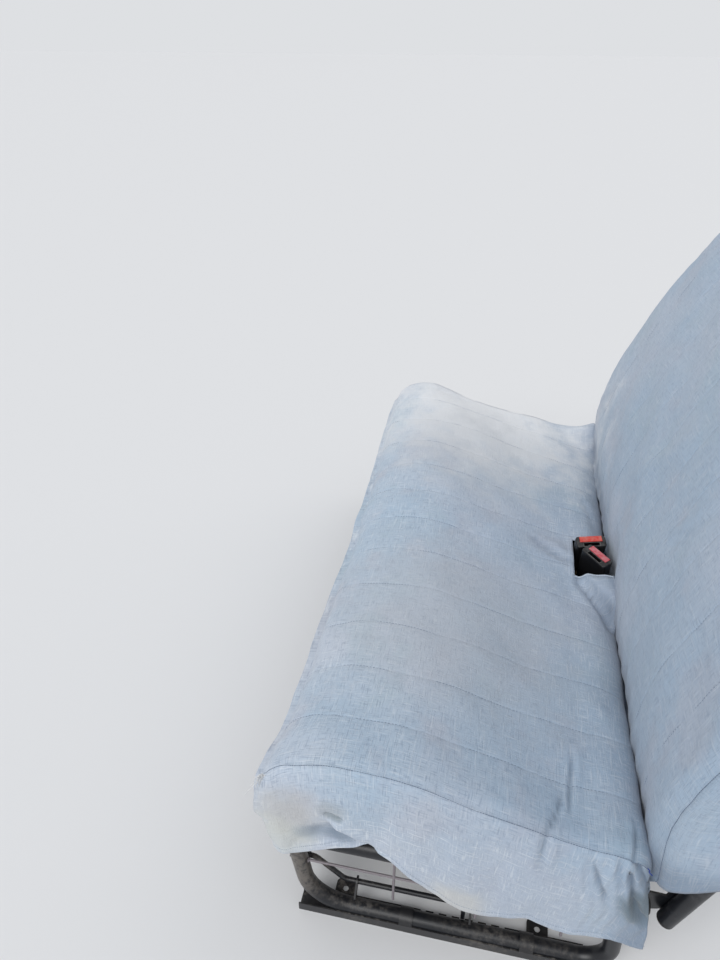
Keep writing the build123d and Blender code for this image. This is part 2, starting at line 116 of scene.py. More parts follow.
class Finish:
    """A material being made, whose shader's plain values are given first."""

    def __init__(self, name, **plain):
        self.material = bpy.data.materials.new(name)
        self.material.use_nodes = True
        self.tree = self.material.node_tree
        self.shader = self.tree.nodes["Principled BSDF"]
        self.feed(**plain)

    def set(self, socket, value):
        if isinstance(value, Level):
            self.tree.links.new(value.socket, socket)
        else:
            socket.default_value = value

    def feed(self, **values):
        for name, value in values.items():
            self.set(self.shader.inputs[name.replace("_", " ")], value)

    def node(self, kind, settings=None, values=None, out=0):
        made = self.tree.nodes.new(kind)
        for name, value in (settings or {}).items():
            setattr(made, name, value)
        for name, value in (values or {}).items():
            self.set(made.inputs[name], value)
        return Level(self, made.outputs[out])

    def place(self, where="Object"):
        return self.node("ShaderNodeTexCoord", out=where)

    def axes(self, vector):
        return [self.node("ShaderNodeSeparateXYZ", values={0: vector}, out=axis) for axis in "XYZ"]

    def stretched(self, vector, scale, turn=(0, 0, 0)):
        return self.node("ShaderNodeMapping", values={"Vector": vector, "Scale": scale, "Rotation": turn})

    def noise(self, vector, scale, detail=2.0, roughness=0.5):
        return self.node("ShaderNodeTexNoise", values={
            "Vector": vector, "Scale": scale, "Detail": detail, "Roughness": roughness})

    def blend(self, share, low, high):
        """Colour low where share is 0 and high where it is 1."""
        def colour(value):
            return value if isinstance(value, Level) else (*value, 1.0)
        return self.node("ShaderNodeMix", {"data_type": "RGBA"},
                         {0: share, 6: colour(low), 7: colour(high)}, out=2)

    def bump(self, height, distance, strength=1.0):
        return self.node("ShaderNodeBump", values={
            "Height": height, "Distance": distance, "Strength": strength})


floor_reach = 30
floor_mesh = bpy.data.meshes.new("studio_floor")
floor_mesh.from_pydata([(-floor_reach, -floor_reach, 0), (floor_reach, -floor_reach, 0),
                        (floor_reach, floor_reach, 0), (-floor_reach, floor_reach, 0)], [], [(0, 1, 2, 3)])
studio_floor = linked("studio_floor", floor_mesh)
floor_finish = Finish("studio_floor", Roughness=0.9, Base_Color=(0.70, 0.705, 0.715, 1))
floor_mesh.materials.append(floor_finish.material)

scene.world = bpy.data.worlds.new("studio")
scene.world.use_nodes = True
sky = scene.world.node_tree
sky_light = sky.nodes["Background"]
sky_light.inputs["Color"].default_value = (0.95, 0.97, 1.0, 1)
sky_light.inputs["Strength"].default_value = 0.60
backdrop = sky.nodes.new("ShaderNodeBackground")
backdrop.inputs["Color"].default_value = (0.730, 0.745, 0.767, 1)
backdrop.inputs["Strength"].default_value = 1.0
seen = sky.nodes.new("ShaderNodeLightPath")
choice = sky.nodes.new("ShaderNodeMixShader")
sky.links.new(seen.outputs["Is Camera Ray"], choice.inputs[0])
sky.links.new(sky_light.outputs[0], choice.inputs[1])
sky.links.new(backdrop.outputs[0], choice.inputs[2])
sky.links.new(choice.outputs[0], sky.nodes["World Output"].inputs["Surface"])
for name, toward, spread, power in (
        ("near_side", (0.66, -0.34, 0.67), 42, 1.86),
        ("far_side", (-0.55, 0.60, 0.58), 60, 0.45)):
    lamp_data = bpy.data.lights.new(name, "SUN")
    lamp_data.angle = math.radians(spread)
    lamp_data.energy = power
    lamp = linked(name, lamp_data)
    lamp.matrix_world = Vector(toward).to_track_quat("Z", "Y").to_matrix().to_4x4()


# Floor runners: channels pressed from steel sheet and painted black. They are bolted to the floor through
# their ears, and the sleds that slide in them have scuffed them bright.
def dress(material, *nodes):
    """Gives frame parts that keep their shape their finish."""
    for node in nodes:
        part = bpy.data.objects[node]
        part.data.materials.clear()
        part.data.materials.append(material)


def painted_steel(name, paint, wear, dust, scuffed=0.0):
    """Satin paint over steel, rubbed in patches, dusty on what faces up, and scuffed by shoes in front."""
    finish = Finish(name, Specular_IOR_Level=0.45)
    where = finish.place()
    broad = finish.noise(where, 9.0, 4.0, 0.6)
    fine = finish.noise(where, 160.0, 5.0, 0.65)
    scratches = finish.noise(finish.stretched(where, (900, 60, 900)), 1.0, 2.0)
    up = finish.axes(finish.node("ShaderNodeNewGeometry", out="Normal"))[2]
    rubbed = (broad * 0.6 + fine * 0.4 + up * 0.03).ramp(0.53, 0.63)
    dusty = up.ramp(0.2, 1.0) * fine.ramp(0.35, 0.75) * broad.ramp(0.3, 0.7)
    coated = finish.blend(rubbed * 0.55, paint, wear)
    coated = finish.blend(scratches.ramp(0.68, 0.78) * 0.35, coated, wear)
    if scuffed:
        y, z = finish.axes(where)[1:]
        shoes = y.ramp(-0.16, -0.19) * z.ramp(0.03, 0.08) * fine.ramp(0.25, 0.6) * scuffed
        coated = finish.blend(shoes, coated, dust)
    finish.feed(Base_Color=finish.blend(dusty * 0.6, coated, dust),
                Roughness=0.34 + rubbed * 0.16 + dusty * 0.35,
                Normal=finish.bump(fine * 0.6 + broad, 0.0006, 0.25))
    return finish.material


runner_paint = painted_steel("runner_paint", paint=(0.018, 0.018, 0.020), wear=(0.13, 0.12, 0.11),
                             dust=(0.20, 0.18, 0.155))
dress(runner_paint, "runner_left", "runner_right")


# Seat and back frame: bent tube and rails of steel, welded together and painted satin black, dulled by shoes
# and road dust. Thin greyish wires are welded into the openings at its sides.
frame_paint = painted_steel("frame_paint", paint=(0.010, 0.011, 0.014), wear=(0.050, 0.050, 0.054),
                            dust=(0.17, 0.15, 0.13), scuffed=0.75)
dress(frame_paint, "sled_left", "sled_right", "front_rail", "side_rail_left", "side_rail_right", "rear_rail",
      "back_hoop", "back_cross_tube", "back_bracket_left", "back_bracket_right", "release_lever",
      "buckle_anchor")

wire_paint = painted_steel("wire_steel", paint=(0.19, 0.168, 0.185), wear=(0.27, 0.24, 0.25),
                           dust=(0.33, 0.31, 0.31))
dress(wire_paint, "side_wires_left", "side_wires_right")


# Springing and small parts: rubber straps stretched between zinc-plated hooks on the rails, a rubber grip on
# the latch lever, and plastic plugs pushed into the open tube ends.
def moulded(name, colour, grain, roughness):
    """Moulded plastic or rubber with a fine grain and dust in it."""
    finish = Finish(name, Specular_IOR_Level=0.4)
    where = finish.place()
    pits = finish.noise(where, grain, 3.0, 0.6)
    film = finish.noise(where, 45.0, 4.0, 0.6).ramp(0.45, 0.75)
    dusty = [0.6 * level + 0.09 for level in colour]
    finish.feed(Base_Color=finish.blend(film * 0.5, colour, dusty),
                Roughness=roughness + film * 0.25,
                Normal=finish.bump(pits, 0.0004, 0.35))
    return finish.material


dress(moulded("strap_rubber", (0.022, 0.022, 0.022), grain=700.0, roughness=0.62),
      "seat_straps", "back_straps")
dress(moulded("grip_rubber", (0.018, 0.018, 0.019), grain=900.0, roughness=0.6), "lever_grip")
dress(moulded("plug_plastic", (0.02, 0.02, 0.02), grain=900.0, roughness=0.5), "end_plugs")

zinc = Finish("hook_steel", Metallic=0.9)
zinc_place = zinc.place()
zinc_mottle = zinc.noise(zinc_place, 60.0, 4.0, 0.6)
zinc.feed(Base_Color=zinc.blend(zinc_mottle.ramp(0.35, 0.7), (0.36, 0.35, 0.32), (0.62, 0.61, 0.57)),
          Roughness=0.38 + zinc_mottle * 0.25)
dress(zinc.material, "seat_hooks", "back_hooks")


# Sacking over the rubber straps: coarse brown jute, woven open. It lies loose between the straps and the
# pads, so that the straps don't cut into the foam.
jute_waves = 2 * math.pi / 0.0036
jute = Finish("sacking", Roughness=0.95, Specular_IOR_Level=0.1)
jute_place = jute.place()
jute_x, jute_y, jute_z = jute.axes(jute_place)
jute_along = jute_y * 0.72 + jute_z * 0.69
jute_yarns = (jute_x * jute_waves).wave().size() * 0.5 + (jute_along * jute_waves).wave().size() * 0.5
jute_slub = jute.noise(jute.stretched(jute_place, (400, 40, 40)), 1.0, 3.0)
jute.feed(Base_Color=jute.blend((jute_yarns * 0.6 + jute_slub * 0.5).ramp(0.3, 0.9),
                                (0.13, 0.085, 0.045), (0.43, 0.32, 0.19)),
          Normal=jute.bump(jute_yarns, 0.0008, 0.8))
dress(jute.material, "seat_sheet", "back_sheet")


# Slip cover of the seat: washed light blue slub cotton. One long piece goes over the cushion and down
# its front; the side drops are sewn on along the upper edges and down the front corners. It is sewn
# through in fore and aft channels, slit for the buckles, and ends in a wavy turned hem.
def slub_cotton(name, stains_and_painted_light):
    """Light blue cotton with slubs both ways, faded grey where it is sat on and yellowed in places, with
    painted shade towards the rear, in the crevice and along the creases, and stains and painted light at the
    places given.
    """
    finish = Finish(name, Roughness=0.92, Specular_IOR_Level=0.15, Sheen_Weight=0.2, Sheen_Roughness=0.5)
    flat = finish.place("UV")
    where = finish.place()
    across, along, _ = finish.axes(flat)
    x, y, z = finish.axes(where)
    wash = finish.noise(where, 2.6, 3.0, 0.55)
    mottle = finish.noise(where, 17.0, 4.0, 0.6)
    pucker = finish.noise(flat, 95.0, 3.0, 0.55)
    tint = finish.noise(where, 7.0, 4.0, 0.6)

    def yarns(across_scale, along_scale, detail=0.0):
        return finish.noise(finish.stretched(flat, (across_scale, along_scale, 1)), 1.0, detail)
    weft, warp = yarns(46, 740, 1.0), yarns(780, 52, 1.0)
    pale = weft.ramp(0.59, 0.70) + warp.ramp(0.60, 0.70)
    dark = weft.ramp(0.40, 0.31) + warp.ramp(0.40, 0.31)
    fine = (yarns(90, 1000) + yarns(1000, 90)).ramp(0.75, 1.25)
    lattice = yarns(24, 330).ramp(0.66, 0.76) + yarns(360, 27).ramp(0.66, 0.76)
    # The drops are less rubbed than the top, so their slubs stand out more.
    on_drops = z.ramp(0.315, 0.275)
    base = finish.blend(wash.ramp(0.40, 0.60), (0.380, 0.480, 0.590), (0.482, 0.538, 0.628))
    for share, colour in (
            (tint.ramp(0.50, 0.66) * 0.6, (0.455, 0.470, 0.535)),
            (tint.ramp(0.46, 0.32) * 0.5, (0.365, 0.475, 0.545)),
            (mottle.ramp(0.35, 0.75) * 0.30, (0.52, 0.56, 0.61)),
            (fine * 0.20, (0.255, 0.325, 0.42)),
            (dark.capped(1.0) * (0.44 - 0.27 * on_drops), (0.17, 0.225, 0.32)),
            (pale.capped(1.2) * (0.22 + 0.34 * on_drops), (0.72, 0.765, 0.81)),
            (lattice.capped(1.0) * (0.20 + 0.26 * on_drops), (0.74, 0.78, 0.82)),
            # Painted shade: darker from the front towards the rear, and darker still in the crevice between
            # the seat and the back.
            (y.ramp(-0.20, 0.15) * 0.34, (0.22, 0.29, 0.39)),
            (y.ramp(0.205, 0.262) * z.ramp(0.325, 0.27) * 0.55, (0.12, 0.16, 0.23))):
        base = finish.blend(share, base, colour)
    # Stains, painted shade and painted sunlight, each spread round its place.
    for place, reach, colour, share in stains_and_painted_light:
        dx, dy, dz = x - place[0], y - place[1], z - place[2]
        far = (dx * dx + dy * dy + dz * dz) ** 0.5
        stain_and_painted_light = (far + (mottle - 0.5) * reach).ramp(reach, 0.25 * reach)
        base = finish.blend(stain_and_painted_light * share, base, colour)
    base = finish.blend(finish.node("ShaderNodeAttribute", {"attribute_name": "fold_shade"}, out="Fac"),
                        base, (0.10, 0.135, 0.19))
    yarn_waves = 2 * math.pi / 0.0016
    weave = (across * yarn_waves).wave() * (along * yarn_waves).wave()
    relief = weave * 0.10 + (pale - dark + lattice) * 0.20 + pucker * 0.9 + fine * 0.12
    finish.feed(Base_Color=base, Normal=finish.bump(relief, 0.0008, 0.85))
    return finish.material


# Stains and painted light, each with its middle, reach, colour and share: grey rubbing and yellowed hems on
# the left drop; painted shade in its fold, above and under that fold and in the gathers at its rear; painted
# sunlight on the top at the right end; and the top dulled where people sit.
cover_cotton = slub_cotton("cover_cloth", (
    # grey rubbing at the front corner, and yellowed hems
    ((0.60, -0.215, 0.262), 0.076, (0.465, 0.465, 0.465), 0.80),
    ((0.60, -0.240, 0.205), 0.075, (0.56, 0.575, 0.54), 0.7),
    ((0.60, 0.02, 0.125), 0.070, (0.55, 0.54, 0.50), 0.6),
    # painted shade in the fold above the flap
    ((0.594, -0.160, 0.2785), 0.011, (0.20, 0.23, 0.24), 0.55),
    ((0.594, -0.152, 0.2765), 0.012, (0.17, 0.20, 0.21), 0.55),
    ((0.594, -0.144, 0.2745), 0.013, (0.15, 0.185, 0.195), 0.60),
    # painted shade above that fold
    ((0.598, -0.152, 0.292), 0.030, (0.31, 0.33, 0.34), 0.45),
    # painted shade under the fold
    ((0.594, -0.190, 0.226), 0.030, (0.24, 0.31, 0.38), 0.45),
    ((0.592, -0.168, 0.233), 0.034, (0.20, 0.26, 0.34), 0.60),
    ((0.590, -0.143, 0.234), 0.034, (0.16, 0.215, 0.29), 0.75),
    # painted shade in the gathered folds at the rear of the drop
    ((0.596, 0.248, 0.222), 0.034, (0.11, 0.15, 0.18), 0.8),
    ((0.596, 0.256, 0.196), 0.030, (0.13, 0.17, 0.20), 0.7),
    # painted sunlight on the top at the right end
    ((-0.48, -0.02, 0.33), 0.36, (0.74, 0.745, 0.755), 0.9),
    # the top dulled where people sit
    ((0.25, -0.02, 0.34), 0.30, (0.40, 0.425, 0.46), 0.5),
    ((-0.30, -0.02, 0.34), 0.28, (0.41, 0.435, 0.47), 0.4),
))


def through(keys, values, places):
    """Smooth curve through values given at rising keys, read at places."""
    keys, values, places = (np.array(part, float) for part in (keys, values, places))
    slopes = np.gradient(values, keys, axis=0)
    at = np.clip(places, keys[0], keys[-1])
    low = np.clip(np.searchsorted(keys, at, side="right") - 1, 0, len(keys) - 2)
    shape = at.shape + (1,) * (values.ndim - 1)
    width = (keys[low + 1] - keys[low]).reshape(shape)
    t = ((at - keys[low]) / (keys[low + 1] - keys[low])).reshape(shape)
    return ((1 + 2 * t) * (1 - t) ** 2 * values[low] + t * (1 - t) ** 2 * width * slopes[low]
            + t * t * (3 - 2 * t) * values[low + 1] + t * t * (t - 1) * width * slopes[low + 1])


def smooth(low, high, values):
    """0 at low, 1 at high, with a smooth rise or fall between."""
    t = np.clip((values - low) / (high - low), 0, 1)
    return t * t * (3 - 2 * t)


def ripples(seed, shortest, longest, stretch=1.0, count=9):
    """A fixed field of soft waves over two coordinates, about -1 to 1, longer along the second."""
    draw = np.random.RandomState(seed)
    lengths = np.exp(draw.uniform(np.log(shortest), np.log(longest), count))
    turns, phases = draw.uniform(0, np.pi, count), draw.uniform(0, 2 * np.pi, count)

    def field(p, q):
        total = 0
        for length, turn, phase in zip(lengths, turns, phases):
            distance = p * np.cos(turn) + q * np.sin(turn) / stretch
            total = total + np.sin(2 * np.pi / length * distance + phase)
        return total / count ** 0.5 / 1.2
    return field


def crease(p, q, points, width, fade=0.3):
    """1 along a line through points, falling off to its sides within width and towards its ends."""
    points = np.array(points, float)
    lengths = np.linalg.norm(np.diff(points, axis=0), axis=1)
    best, share = np.full(np.shape(p), 1e9), np.zeros(np.shape(p))
    for start, end, before, length in zip(points, points[1:], np.cumsum(lengths) - lengths, lengths):
        step = (end - start) / length
        along = np.clip((p - start[0]) * step[0] + (q - start[1]) * step[1], 0, length)
        far = np.hypot(p - start[0] - along * step[0], q - start[1] - along * step[1])
        nearer = far < best
        best = np.where(nearer, far, best)
        share = np.where(nearer, (before + along) / lengths.sum(), share)
    ends = smooth(0, fade, share) * smooth(1, 1 - fade, share)
    return np.exp(-(best / width) ** 2) * ends


def folded(relief, p, q, folds):
    """A relief with soft folds added: each one's height, or its depth below 0, line, width and fade."""
    for height, line, *spread in folds:
        relief = relief + height * crease(p, q, line, *spread)
    return relief


def press(p, q, creases):
    """How far sharp creases press the cloth in, and how dark they lie in shade."""
    depth, shade = np.zeros(np.shape(p)), np.zeros(np.shape(p))
    for line, pressed, width, dark in creases:
        depth += pressed * crease(p, q, line, width, 0.25)
        shade = np.maximum(shade, dark * crease(p, q, line, max(0.0024, 0.8 * width), 0.3))
    return depth, shade


def as_mesh(thing):
    """The plain mesh that an object's modifiers, or a curve's bevel, give."""
    return bpy.data.meshes.new_from_object(thing.evaluated_get(bpy.context.evaluated_depsgraph_get()))


class SewnCloth:
    """Pieces of cloth sewn edge to edge: shared points, faces, and every corner's place on the flat cloth."""

    def __init__(self):
        self.points, self.faces, self.places, self.shades = [], [], [], []

    def add(self, points, shade=0.0):
        first = len(self.points)
        self.shades.extend(np.broadcast_to(shade, points.shape[:-1]).ravel())
        self.points.extend(map(tuple, points.reshape(-1, 3)))
        return np.arange(first, len(self.points)).reshape(points.shape[:-1])

    def weave(self, index, flat, turned=False, cut=None):
        rows, columns = index.shape
        for row in range(rows - 1):
            for column in range(columns - 1):
                if cut is not None and cut[row, column]:
                    continue
                corners = [(row, column), (row, column + 1), (row + 1, column + 1), (row + 1, column)]
                if turned:
                    corners.reverse()
                self.faces.append([int(index[corner]) for corner in corners])
                self.places.extend(tuple(flat[corner]) for corner in corners)

    def make(self, name, thickness, material):
        mesh = bpy.data.meshes.new(name)
        mesh.from_pydata(self.points, [], self.faces)
        layer = mesh.uv_layers.new(name="flat_cloth")
        layer.data.foreach_set("uv", np.array(self.places, float).ravel())
        shade = mesh.attributes.new("fold_shade", "FLOAT", "POINT")
        shade.data.foreach_set("value", np.array(self.shades, np.float32))
        mesh.shade_smooth()
        mesh.materials.append(material)
        cloth = linked(name, mesh)
        wall = cloth.modifiers.new("thickness", "SOLIDIFY")
        wall.thickness, wall.offset, wall.use_quality_normals = thickness, -1.0, True
        solid = as_mesh(cloth)
        cloth.modifiers.clear()
        cloth.data = solid
        solid.name = name
        bpy.data.meshes.remove(mesh)
        return cloth


def outward(points):
    """Unit normals of a grid of points, from the rows crossed with the columns."""
    normal = np.cross(np.gradient(points, axis=0), np.gradient(points, axis=1))
    return normal / np.linalg.norm(normal, axis=2, keepdims=True)


half_width, side_drape = 0.590, 0.588
channel_pitch, last_channel = 0.100, 0.5
cloth_thickness = 0.0022

# Sections from the crevice at the back over the nose to the front edge, for eight places across.
section_y = (0.262, 0.250, 0.217, 0.164, 0.100, 0.030, -0.030, -0.080, -0.130, -0.175, -0.210, -0.238, -0.250)
sections_x = (-0.585, -0.480, -0.300, -0.100, 0.100, 0.300, 0.450, 0.588)
sections_z = (
    (0.280, 0.300, 0.288, 0.287, 0.301, 0.312, 0.325, 0.340, 0.360, 0.373, 0.366, 0.345, 0.318),
    (0.222, 0.254, 0.266, 0.281, 0.298, 0.318, 0.336, 0.350, 0.362, 0.366, 0.359, 0.343, 0.320),
    (0.205, 0.248, 0.267, 0.281, 0.297, 0.317, 0.335, 0.349, 0.357, 0.356, 0.347, 0.331, 0.308),
    (0.205, 0.252, 0.273, 0.284, 0.299, 0.320, 0.337, 0.350, 0.355, 0.352, 0.341, 0.323, 0.300),
    (0.205, 0.255, 0.273, 0.286, 0.301, 0.322, 0.339, 0.351, 0.354, 0.350, 0.339, 0.321, 0.300),
    (0.205, 0.262, 0.281, 0.291, 0.305, 0.327, 0.343, 0.354, 0.355, 0.350, 0.339, 0.323, 0.302),
    (0.226, 0.280, 0.292, 0.299, 0.312, 0.333, 0.350, 0.361, 0.362, 0.357, 0.347, 0.331, 0.308),
    (0.236, 0.289, 0.303, 0.310, 0.325, 0.343, 0.364, 0.374, 0.378, 0.374, 0.359, 0.335, 0.318),
)
front_bulge_x = (-0.59, -0.495, -0.313, -0.190, 0.009, 0.115, 0.215, 0.310, 0.419, 0.480, 0.515, 0.550, 0.59)
front_bulge = (0.013, 0.011, 0.004, 0.000, -0.006, -0.007, -0.005,
               -0.006, -0.007, -0.007, -0.0045, 0.002, 0.008)

# Columns crowd at the sewn channels and at the side seams, rows at the seams and the hem.
between_channels = np.array((0, 1.5, 4, 9, 17, 27, 38, 50, 62, 73, 83, 91, 96, 98.5)) / 1000
columns = np.concatenate([channel_pitch * k - last_channel + between_channels for k in range(10)]
                         + [[last_channel]])
edge_columns = np.array((1.5, 3, 6, 11, 18, 26, 34, 42, 50, 57, 64, 70, 75, 79, 82.5, 85, 87, 88)) / 1000
columns = np.concatenate([-last_channel - edge_columns[::-1], columns, last_channel + edge_columns])
slit_x, slit_y = (-0.088, 0.026), 0.181
for side in slit_x:
    columns[np.argmin(abs(columns - side))] = side

reference = np.array([section_y, through(sections_x, sections_z, [0.0])[0]]).T
section_keys = np.concatenate([[0], np.cumsum(np.linalg.norm(np.diff(reference, axis=0), axis=1))])
top_length = section_keys[-1]
top_keys = np.concatenate([np.linspace(0, 0.17, 75), np.linspace(0.17, top_length, 84)[1:]])
slit_key = np.interp(-slit_y, -np.array(section_y), section_keys)
slit_row = int(np.argmin(abs(top_keys - slit_key)))
top_keys[slit_row] = slit_key
top_z = through(section_keys, through(sections_x, sections_z, columns).T, top_keys)
top_y = through(section_keys, np.array(section_y), top_keys)[:, None] + 0 * top_z

# Behind the buckles' slit the cloth stays up on a stiff gusset, past a valley that runs out of the slit.
gusset_z, gusset_rise = 0.2895, 0.10
valley_y = through((0.0, 0.033, 0.082, 0.138, 0.20), (0.186, 0.187, 0.224, 0.247, 0.262), columns)
on_gusset = smooth(0.0, 0.020, top_y - valley_y) * smooth(0.150, 0.080, columns) * (columns > 0)
on_gusset = on_gusset * smooth(0.262, 0.253, top_y)
top_z = top_z + on_gusset * (gusset_z + gusset_rise * np.maximum(0, top_y - 0.20) - top_z)

top_y = top_y - smooth(-0.15, -0.25, top_y) * through(front_bulge_x, front_bulge, columns)
top = np.stack([columns + 0 * top_z, top_y, top_z], axis=2)
top_rows = len(top_keys)

# The drop from seam to hem: rows near the seam, even rows, rows of the turned hem.
seam_rows = np.array((2, 5, 9, 14)) / 1000
even_rows = 24
hem_rows = np.array((30, 24, 19, 15.5, 14.2, 13.4, 12.6, 11.6, 8, 4, 1.5, 0.4, 0)) / 1000
hem_stitch_row = len(seam_rows) + even_rows + 5


def drop_shares(length):
    """Shares of a drop's length at which its rows lie, for each length given."""
    length = np.asarray(length)[..., None]
    even = seam_rows[-1] + (length - hem_rows[0] - seam_rows[-1]) * np.linspace(0, 1, even_rows + 2)[1:-1]
    near_seam, near_hem = seam_rows + 0 * length, length - hem_rows
    return np.concatenate([near_seam, even, near_hem], axis=-1) / length


corner_round = 0.020
front_profile_z = (0.100, 0.150, 0.197, 0.236, 0.247, 0.262, 0.300, 0.330)
front_profile = (-0.003, -0.0015, 0.004, 0.009, 0.0165, 0.017, 0.011, 0.000)
soft_profile = (-0.003, 0.0020, 0.008, 0.013, 0.0150, 0.0165, 0.011, 0.000)
hem_wave = ripples(5, 0.15, 0.5, count=5)
drop_folds = ripples(11, 0.05, 0.21, stretch=6.0, count=10)


def hem_relief(distance):
    """Turned hem: a doubled edge, a line of stitches that bites in, and a soft lower lip."""
    doubled = 0.0011 * smooth(0.0150, 0.0138, distance)
    bite = 0.0009 * np.exp(-((distance - 0.0131) / 0.0008) ** 2)
    return doubled - bite - 0.0006 * smooth(0.0014, 0.0, distance)


# The front drop bulges under the nose. Near the left corner it turns in sharply below that, elsewhere softly.
hem_level = 0.150
corner_hem_z = through((0.5, 0.55, 0.588), (hem_level, 0.151, 0.154), columns)
front_hem_z = np.where(columns > 0.5, corner_hem_z, hem_level + 0.005 * hem_wave(columns, 0 * columns))
front_top_z = top_z[-1]
front_shares = drop_shares(front_top_z - front_hem_z).T
front_z = front_top_z + (front_hem_z - front_top_z) * front_shares
left_end = smooth(0.33, 0.52, columns)
front_y = top_y[-1] - left_end * through(front_profile_z, front_profile, front_z)
front_y -= (1 - left_end) * through(front_profile_z, soft_profile, front_z)
front_sway = smooth(0.30, 0.16, front_z)
front_y = front_y - front_sway * 0.006 * (drop_folds(columns + 0 * front_z, front_z) + 0.3)
front_y = front_y + 0.005 * np.exp(-((front_z - 0.2375) / 0.0035) ** 2) * smooth(0.530, 0.588, columns)
front = np.stack([columns + 0 * front_z, front_y, front_z], axis=2)
long_piece = np.concatenate([top, front])

# Corner rounding in plan, seen from above, where the long piece meets the side drops.
round_share = np.clip((abs(columns) - (side_drape - corner_round)) / corner_round, 0, 1) * math.pi / 4
low_share = np.concatenate([smooth(-0.2, -0.25, top_y[:, 0])[:, None] + 0 * top_z, 0 * front_z + 1])
rounded_x = np.sign(columns) * (side_drape - corner_round + corner_round * np.sin(round_share))
long_piece[:, :, 0] += low_share * np.where(round_share > 0, rounded_x - columns, 0)
long_piece[:, :, 1] += low_share * np.where(round_share > 0, corner_round * (1 - np.cos(round_share)), 0)

# Relief of the long piece: quilted channels, creases at the buckles' slit, soft slackness, the hem.
px, py = long_piece[:, :, 0], long_piece[:, :, 1]
row_keys = np.concatenate([top_keys[:, None] + 0 * top_z, top_length + (front_top_z - front_z)])
inside = smooth(0.588, 0.560, abs(px))
off_channel = abs((px / channel_pitch) - np.round(px / channel_pitch)) * channel_pitch
sewn = smooth(0.035, 0.075, row_keys) * smooth(top_length + 0.05, top_length - 0.03, row_keys)
sewn = sewn * np.where(abs(px) < 0.55, 1, 0)
quilt = 0.0009 * np.sin(np.pi * off_channel / channel_pitch) ** 0.8
quilt -= 0.0008 * np.exp(-(off_channel / 0.0014) ** 2)
slack = 0.0022 * ripples(3, 0.10, 0.34, count=10)(px, row_keys)
slack += 0.0004 * ripples(8, 0.035, 0.08, count=12)(px, row_keys)
relief = inside * (sewn * quilt + slack) + 0.004 * (smooth(0.588, 0.572, abs(px)) - 1) * (1 - low_share)
relief = folded(relief, px, py, (
    (-0.0068, ((-0.050, 0.085), (-0.026, 0.14), (0.000, 0.190)), 0.0085, 0.40),
    (0.0042, ((-0.068, 0.088), (-0.052, 0.14), (-0.040, 0.178)), 0.011, 0.35),
    (-0.0085, ((0.024, 0.182), (0.060, 0.207), (0.098, 0.232), (0.150, 0.250)), 0.0095, 0.12),
    (0.0030, ((0.030, 0.160), (0.070, 0.185), (0.110, 0.212)), 0.0120),
    (0.0022, ((0.435, 0.169), (0.476, 0.167), (0.510, 0.164), (0.550, 0.160)), 0.0060, 0.25),
    (0.0022, ((0.505, 0.156), (0.546, 0.146), (0.572, 0.136), (0.600, 0.126)), 0.0055, 0.25),
    (0.0020, ((0.530, 0.231), (0.560, 0.227), (0.590, 0.223)), 0.0045, 0.2),
    (0.0020, ((0.300, -0.205), (0.305, -0.150)), 0.0120, 0.4),
    (-0.0016, ((0.440, -0.240), (0.470, -0.195), (0.490, -0.170)), 0.0060, 0.4),
    (-0.0016, ((0.370, -0.245), (0.400, -0.205)), 0.0060, 0.4),
    (-0.0018, ((-0.30, 0.20), (-0.20, 0.225), (-0.12, 0.235)), 0.009),
    (-0.0020, ((0.30, 0.245), (0.38, 0.20), (0.44, 0.12)), 0.012)))
relief[:top_rows] += 0.0009 * on_gusset * np.sin(2 * np.pi * (px + 0.4 * py)[:top_rows] / 0.013)
pressed_in, long_shade = press(px, py, (
    (((0.435, 0.160), (0.476, 0.158), (0.510, 0.155), (0.550, 0.151)), 0.0036, 0.0034, 0.50),
    (((0.505, 0.147), (0.546, 0.137), (0.572, 0.127), (0.600, 0.117)), 0.0036, 0.0034, 0.55),
    (((0.535, 0.239), (0.560, 0.235), (0.600, 0.230)), 0.0030, 0.0030, 0.50),
    (((0.010, 0.190), (0.045, 0.207), (0.100, 0.238), (0.150, 0.252)), 0.0000, 0.0080, 0.35),
    (((-0.070, 0.060), (-0.040, 0.120), (-0.014, 0.170), (0.010, 0.215)), 0.0000, 0.0080, 0.40)))
relief -= pressed_in
slit_edge = np.maximum(np.maximum(slit_x[0] - px, px - slit_x[1]), slit_y - py)
at_slit = smooth(0.011, 0.008, slit_edge) * (slit_edge > -0.001) * (row_keys < slit_key + 0.02)
relief += at_slit * 0.0012 - 0.0018 * smooth(0.0035, 0.0, abs(slit_edge)) * (row_keys < slit_key + 0.02)
hem_distance = np.full(px.shape, 1.0)
hem_distance[top_rows:] = front_z - front_hem_z
relief += hem_relief(hem_distance)
long_piece += relief[:, :, None] * outward(long_piece)

cover = SewnCloth()
long_index = cover.add(long_piece, long_shade * (np.arange(len(long_piece)) < top_rows)[:, None])
row_middles = (row_keys[1:, 1:] + row_keys[:-1, :-1]) / 2
column_middles = (columns[1:] + columns[:-1]) / 2
slit = (row_middles < slit_key) & (column_middles > slit_x[0]) & (column_middles < slit_x[1])
cover.weave(long_index, np.stack([columns + 0 * px, row_keys], axis=2), turned=True, cut=slit)

